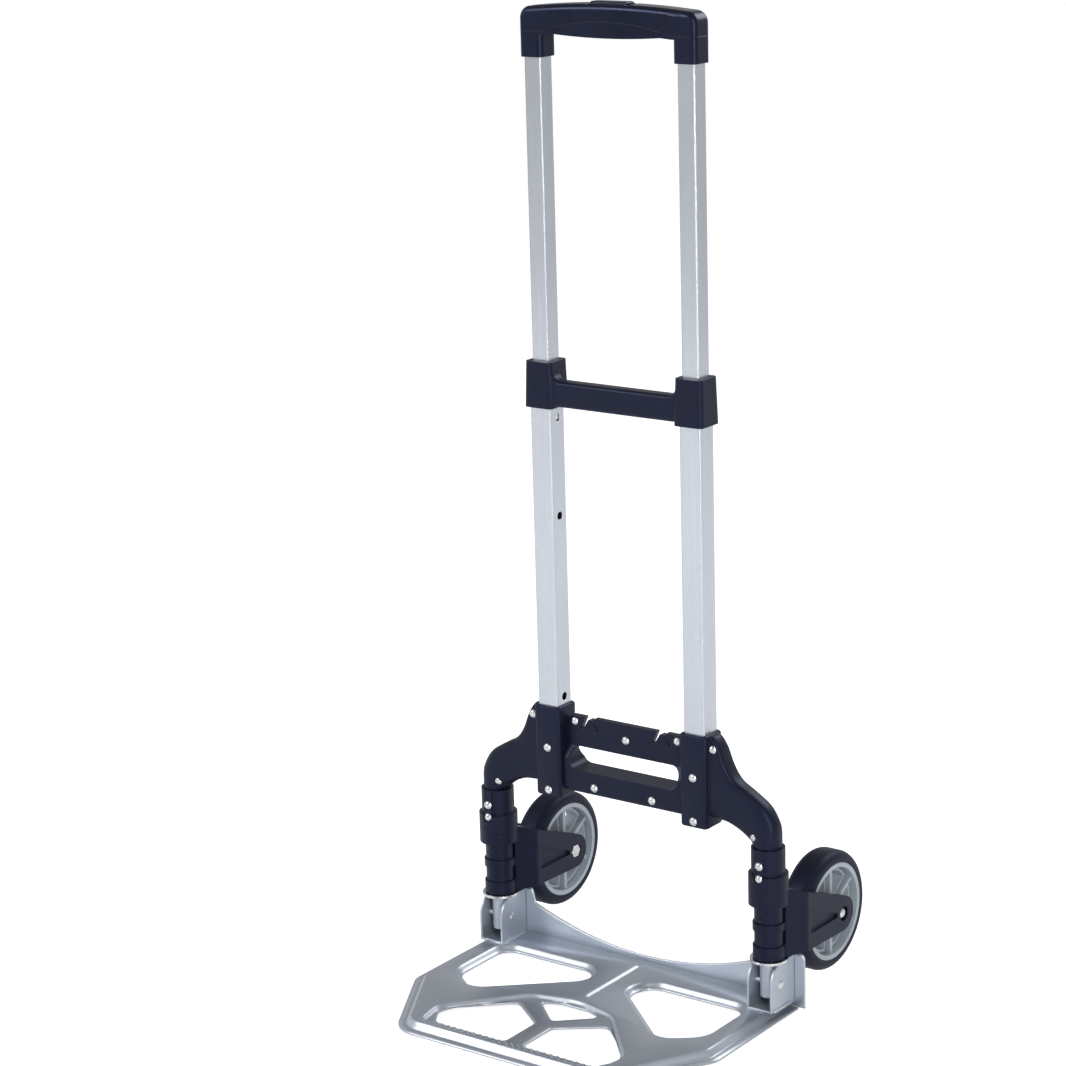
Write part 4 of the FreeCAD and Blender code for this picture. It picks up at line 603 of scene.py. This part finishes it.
class PlatePlan:
    """Outlines and levels of the toe plate, from the CAD plate's box and the tubes' places."""

    def __init__(self):
        low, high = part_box("toe_plate")
        stem_low, stem_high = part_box("lower_tube_right")
        stem = (stem_low[0] + stem_high[0]) / 2
        self.rail = (stem_low[1] + stem_high[1]) / 2
        self.sheet = 2 * MM
        self.front, self.rear = low[1], high[1] - self.sheet
        self.side, self.flange_side = high[0], stem - 24.8 * MM
        self.half = stem + 19.2 * MM
        self.border, self.top, self.floor, self.lip_foot = (low[2] + rise * MM for rise in (2, 10, 6, 4))
        self.flange_top = high[2]
        self.lip, self.wall, self.rim_wide, self.rim_start = 7 * MM, 5 * MM, 7 * MM, 7 * MM
        nose, front, half = self.half - 86 * MM, self.front, self.half
        side_end = front + 112 * MM
        edge = np.array([(half, self.rear + 60 * MM), (half, side_end), (nose + 23 * MM, front),
                         (-nose - 23 * MM, front), (-half, side_end), (-half, self.rear + 60 * MM)])
        spots, normals = rounded_outline(edge, np.array([1, 25, 35, 35, 25, 1]) * MM, 12)
        inside = slice(12, -12)
        self.edge = spots[inside], normals[inside]
        hole_rear = self.rear - 42 * MM
        hole = np.array([(half - 36.5 * MM, hole_rear), (36 * MM, hole_rear),
                         (27 * MM, self.rail - 46 * MM), (half - 71.8 * MM, front + 116 * MM),
                         (half - 36.5 * MM, front + 142 * MM)])
        radii = np.array([16, 20, 20, 20, 24]) * MM
        self.rear_holes = self.pair(hole, radii)
        right = np.array([(nose / 2, front + 134 * MM), (nose + 15 * MM, front + 59 * MM),
                          (nose + 7 * MM, front + 15 * MM)])
        recess = np.vstack([[0, front + 146 * MM], right, (right * (-1, 1))[::-1]])
        self.recess = inset(rounded_outline(recess, np.array([60, 30, 25, 16, 16, 25, 30]) * MM), self.wall)
        side_hole = np.array([(11 * MM, front + 82 * MM), (56 * MM, front + 115 * MM),
                              (nose + 2 * MM, front + 72 * MM), (nose + 9 * MM, front + 54 * MM),
                              (nose - 5 * MM, front + 30 * MM), (11 * MM, front + 30 * MM)])
        back_hole = np.array([(-37, 129), (-17, 137), (17, 137), (37, 129), (0, 96)]) * MM + (0, front)
        self.front_holes = self.pair(side_hole, np.array([6, 8, 14, 12, 12, 6]) * MM)
        self.front_holes.append(rounded_outline(back_hole, 5 * MM))
        self.curl = 2.5 * MM

    @staticmethod
    def pair(corners, radii):
        """An outline on the right and its mirror image on the left."""
        spots, normals = rounded_outline(corners, radii)
        return [(spots, normals), (spots * (-1, 1), normals * (-1, 1))]

    def rim(self):
        """The flat border and the wall that rises from it to the panel, open at the flange."""
        spots, normals = self.edge
        step = np.array([0, self.rim_start])
        wall = np.linspace(0, 1, 9)
        inwards = np.concatenate([step[:1], self.rim_start + self.rim_wide * wall])
        rise = (self.top - self.border) * (0.5 - 0.5 * np.cos(np.pi * wall))
        height = np.concatenate([[self.border], self.border + rise])
        plan = spots - normals * inwards[:, None, None]
        ends = np.stack([plan[:, 0], plan[:, -1]])
        ends[..., 1] = self.rear - 0.3 * MM
        plan = np.concatenate([ends[:1].transpose(1, 0, 2), plan, ends[1:].transpose(1, 0, 2)], 1)
        level = np.broadcast_to(height[:, None, None], (len(inwards), plan.shape[1], 1))
        grid = np.concatenate([plan, level], -1)
        self.panel_edge = grid[-1, :, :2]
        return [grid_surface(grid, closed_v=False)]

    def panel(self):
        """The flat panel between the rim, the holes' lips, the recess and the rib."""
        loops = [self.panel_edge] + [spots + normals * self.lip for spots, normals in self.rear_holes]
        loops.append(self.recess[0] + self.recess[1] * self.wall)
        loops.append(self.rib_outline())
        return [flat_sheet(loops, self.top)]

    def recess_floor(self):
        """The recess's floor, whose holes have a narrow rolled edge."""
        curls = [spots + normals * self.curl for spots, normals in self.front_holes]
        parts = [flat_sheet([self.recess[0]] + curls, self.floor)]
        for outline in self.front_holes:
            parts.append(grid_surface(pressed_wall(outline, self.curl, self.floor, self.floor - MM, 5)))
        return parts

    def rib_outline(self):
        """A long slot shape from behind the recess to the flange."""
        low, high, half = self.rail - 90 * MM, self.rail + 12 * MM, 5.5 * MM
        return rounded_outline([(-half, low), (-half, high), (half, high), (half, low)], half * 0.99, 9)[0]

    def rib(self):
        """The rib: its outline shrinks to a line while the height follows a quarter sine."""
        outline = self.rib_outline()
        low, high = outline[:, 1].min(), outline[:, 1].max()
        half = outline[:, 0].max()
        spine = np.stack([np.zeros(len(outline)), np.clip(outline[:, 1], low + half, high - half)], -1)
        share = np.linspace(0, 1, 8)[:, None, None]
        plan = outline + (spine - outline) * share
        height = self.top + 2.2 * MM * (0.5 - 0.5 * np.cos(np.pi * share))
        return grid_surface(np.concatenate([plan, np.broadcast_to(height, plan.shape[:2] + (1,))], -1))

    def flange(self):
        """The flange: a standing sheet whose top edge is a hanging arc between two round-cornered tabs."""
        side, inner, corner = self.side, self.flange_side, 6 * MM
        across = np.concatenate([-side + corner * (1 - np.cos(np.linspace(0, np.pi / 2, 6))),
                                 np.linspace(-side + 2 * corner, -inner - 4 * MM, 4),
                                 np.linspace(-inner - 3 * MM, -inner + 3 * MM, 9),
                                 np.linspace(-inner + 4 * MM, 0, 30)])
        across = np.concatenate([across, -across[-2::-1]])
        far = np.abs(across)
        low_top, high_top = 16 * MM, 46 * MM
        bow = (inner ** 2 + (high_top - low_top) ** 2) / (2 * (high_top - low_top))
        arc = low_top + bow - np.sqrt(bow ** 2 - np.minimum(far, inner) ** 2)
        step = np.clip((far - inner + 3 * MM) / (6 * MM), 0, 1)
        top = arc + (self.flange_top - arc) * step ** 2 * (3 - 2 * step)
        over = np.clip(far - (side - corner), 0, corner)
        top -= corner - np.sqrt(corner ** 2 - over ** 2)
        share = np.linspace(0, 1, 12)[:, None]
        z = self.border + (top - self.border) * share
        grid = np.stack([np.broadcast_to(across, z.shape), np.full_like(z, self.rear), z], -1)
        return grid_surface(grid, closed_v=False)


def inset(outline, amount):
    spots, normals = outline
    return spots - normals * amount, normals


class HANDTRUCK_OT_dimples(bpy.types.Operator):
    """Press three staggered rows of anti-slip dimples into the front of the recess."""

    bl_idname = "handtruck.dimples"
    bl_label = "Anti-slip dimples"

    def execute(self, context):
        shape = context.scene.hand_truck_shape
        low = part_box("toe_plate")[0]
        floor = low[2] + RECESS_RISE
        parts = []
        for row in range(DIMPLE_ROWS):
            first = -DIMPLE_REACH + DIMPLE_PITCH / 2 * (row % 2)
            for x in np.arange(first, DIMPLE_REACH + 0.1 * MM, DIMPLE_PITCH):
                parts.append(dome_surface(x, low[1] + DIMPLE_FRONT + DIMPLE_STEP * row, floor,
                                          shape.dimple_radius, shape.dimple_rise))
        new_piece("anti_slip_dimples", parts, FINISHES["silver_paint"], "toe")
        return {"FINISHED"}


def dome_surface(x, y, z, radius, rise):
    """A low dome: the height follows a cosine from the centre to the rim, which sinks just below."""
    share = np.array([1.0, 0.8, 0.55, 0.3, 0.05])
    angle = np.linspace(0, 2 * np.pi, 10, endpoint=False)
    distance, turn = np.meshgrid(share * radius, angle, indexing="ij")
    height = rise * (0.5 + 0.5 * np.cos(np.pi * distance / radius)) - 0.0002
    return grid_surface(np.stack([x + distance * np.cos(turn), y + distance * np.sin(turn),
                                        z + height], -1), caps=(True, True))


class HANDTRUCK_OT_welds(bpy.types.Operator):
    """Lay a rippled weld bead along the foot of each hinge bracket."""

    bl_idname = "handtruck.welds"
    bl_label = "Weld beads"

    def execute(self, context):
        shape = context.scene.hand_truck_shape
        for name, side in (("left", -1), ("right", 1)):
            low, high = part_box("bracket_" + name)
            parts = []
            for x in (low[0], high[0]):
                foot = low[2] + 0.6 * MM
                parts.append(bead_surface((x, low[1] + 4 * MM, foot), (x, high[1] - 4 * MM, foot),
                                          shape.weld_radius))
            new_piece("weld_beads_" + name, parts, FINISHES["silver_paint"], "toe")
        return {"FINISHED"}


def bead_surface(start, end, radius):
    """A bead between two points: its radius ripples like overlapping drops and closes at the ends."""
    count = 61
    share = np.linspace(0, 1, count)
    start, end = np.array(start), np.array(end)
    ripple = radius * (1 + 0.12 * np.abs(np.sin(share * np.pi * 12))) * \
        np.sqrt(np.clip(1 - (2 * share - 1) ** 12, 0.01, 1))
    angle = np.linspace(0, 2 * np.pi, 12, endpoint=False)
    spine = start + (end - start) * share[:, None]
    x = spine[:, :1] + ripple[:, None] * np.cos(angle)
    z = spine[:, 2:] + ripple[:, None] * np.sin(angle) * 0.8
    y = np.repeat(spine[:, 1:2], len(angle), axis=1)
    return grid_surface(np.stack([x, y, z], -1), caps=(True, True))


class HANDTRUCK_OT_finishes(bpy.types.Operator):
    """Give every CAD node the finish of its material slot."""

    bl_idname = "handtruck.finishes"
    bl_label = "Finishes"

    def execute(self, context):
        slots = {row["node"]: row["material_slot"] for row in frame["record"]["subparts"]}
        for name, node in frame["nodes"].items():
            dress(node, FINISHES[OTHER_FINISH.get(name, FINISH_OF_SLOT[slots[name]])])
        return {"FINISHED"}


def soft_sky():
    """A white room that lights the metal unevenly: brighter low down, dimmer overhead, in soft patches."""
    world = bpy.data.worlds.new("studio")
    world.use_nodes = True
    tree = world.node_tree
    place = add_node(tree, "ShaderNodeTexCoord").outputs["Generated"]
    part = add_node(tree, "ShaderNodeSeparateXYZ", links={"Vector": place})
    fall = add_node(tree, "ShaderNodeMapRange", links={
        "Value": part.outputs["Z"], "From Min": 0.1, "From Max": 0.7, "To Min": 0.70, "To Max": 0.34})
    noise = add_node(tree, "ShaderNodeTexNoise", links={"Vector": place, "Scale": 2.4, "Detail": 0.0})
    patch = add_node(tree, "ShaderNodeMapRange", links={
        "Value": noise.outputs["Fac"], "From Min": 0.35, "From Max": 0.65, "To Min": 0.55, "To Max": 1.15})
    glow = add_node(tree, "ShaderNodeMath", {"operation": "MULTIPLY"},
                    {"i0": fall.outputs[0], "i1": patch.outputs[0]})
    seen = add_node(tree, "ShaderNodeLightPath").outputs["Is Camera Ray"]
    strength = add_node(tree, "ShaderNodeMix", {"data_type": "FLOAT"},
                        {"Factor": seen, "i2": glow.outputs[0], "i3": 1.05})
    back = tree.nodes["Background"]
    back.inputs["Color"].default_value = (0.985, 0.99, 1.0, 1.0)
    tree.links.new(strength.outputs[0], back.inputs["Strength"])
    return world


class HANDTRUCK_OT_stage(bpy.types.Operator):
    """Set up the pale floor, the soft lights and the camera."""

    bl_idname = "handtruck.stage"
    bl_label = "Studio"

    def execute(self, context):
        scene = context.scene
        steps = np.linspace(-1, 1, 9)
        x, y = np.meshgrid(steps * FLOOR_REACH, steps * FLOOR_REACH, indexing="ij")
        flat, faces = grid_surface(np.stack([x, y, np.zeros_like(x)], -1), closed_v=False)
        mesh = bpy.data.meshes.new("studio_floor")
        mesh.from_pydata(flat.tolist(), [], faces)
        floor = bpy.data.objects.new("studio_floor", mesh)
        scene.collection.objects.link(floor)
        dress(floor, FINISHES["studio_floor"])
        scene.world = soft_sky()
        scene.view_settings.view_transform = "Standard"
        target = Vector(LIGHT_TARGET)
        for name, place, wide, tall, power in LIGHTS:
            light = bpy.data.lights.new(name, "AREA")
            light.shape = "RECTANGLE"
            light.size, light.size_y = wide, tall
            light.energy = power
            lamp = bpy.data.objects.new(name, light)
            scene.collection.objects.link(lamp)
            lamp.location = place
            lamp.rotation_euler = (target - lamp.location).to_track_quat("-Z", "Y").to_euler()
        camera = bpy.data.cameras.new("camera")
        camera.lens = scene.hand_truck_shape.camera_lens
        camera.sensor_width = 36.0
        camera.clip_end = 100.0
        eye = bpy.data.objects.new("camera", camera)
        scene.collection.objects.link(eye)
        azimuth, elevation, roll = (math.radians(angle) for angle in (
            CAMERA_AZIMUTH, CAMERA_ELEVATION, CAMERA_ROLL))
        away = Vector((math.sin(azimuth) * math.cos(elevation), -math.cos(azimuth) * math.cos(elevation),
                       math.sin(elevation)))
        across = Vector((math.cos(azimuth), math.sin(azimuth), 0))
        upward = away.cross(across)
        right = across * math.cos(roll) + upward * math.sin(roll)
        above = upward * math.cos(roll) - across * math.sin(roll)
        tube_low, tube_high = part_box("outer_tube_left")
        rail_plane = (tube_low[1] + tube_high[1]) / 2
        place = Vector((CAMERA_X, rail_plane - CAMERA_BEFORE_RAILS, CAMERA_Z))
        turn = Matrix((right, above, away)).transposed().to_4x4()
        eye.matrix_world = Matrix.Translation(place) @ turn
        scene.camera = eye
        return {"FINISHED"}


class HANDTRUCK_PT_panel(bpy.types.Panel):
    """Sidebar panel that lists the making steps."""

    bl_label = "Hand Truck"
    bl_idname = "HANDTRUCK_PT_panel"
    bl_space_type = "VIEW_3D"
    bl_region_type = "UI"
    bl_category = "Hand Truck"

    def draw(self, context):
        for settings in (context.scene.hand_truck_finish, context.scene.hand_truck_shape):
            for field in settings.bl_rna.properties:
                if field.identifier not in ("rna_type", "name"):
                    self.layout.prop(settings, field.identifier)
        for operator in OPERATORS:
            self.layout.operator(operator.bl_idname)


OPERATORS = (HANDTRUCK_OT_finishes, HANDTRUCK_OT_side_arms, HANDTRUCK_OT_toe_plate,
             HANDTRUCK_OT_dimples, HANDTRUCK_OT_welds, HANDTRUCK_OT_stage)
CLASSES = (HandTruckFinish, HandTruckShape, *OPERATORS, HANDTRUCK_PT_panel)
FINISHES = {}


def register():
    for item in CLASSES:
        bpy.utils.register_class(item)
    bpy.types.Scene.hand_truck_finish = bpy.props.PointerProperty(type=HandTruckFinish)
    bpy.types.Scene.hand_truck_shape = bpy.props.PointerProperty(type=HandTruckShape)


def unregister():
    del bpy.types.Scene.hand_truck_shape
    del bpy.types.Scene.hand_truck_finish
    for item in reversed(CLASSES):
        bpy.utils.unregister_class(item)


def main():
    register()
    FINISHES.update(make_finishes())
    for operator in OPERATORS:
        group, name = operator.bl_idname.split(".")
        getattr(getattr(bpy.ops, group), name)()


if __name__ == "__main__":
    main()
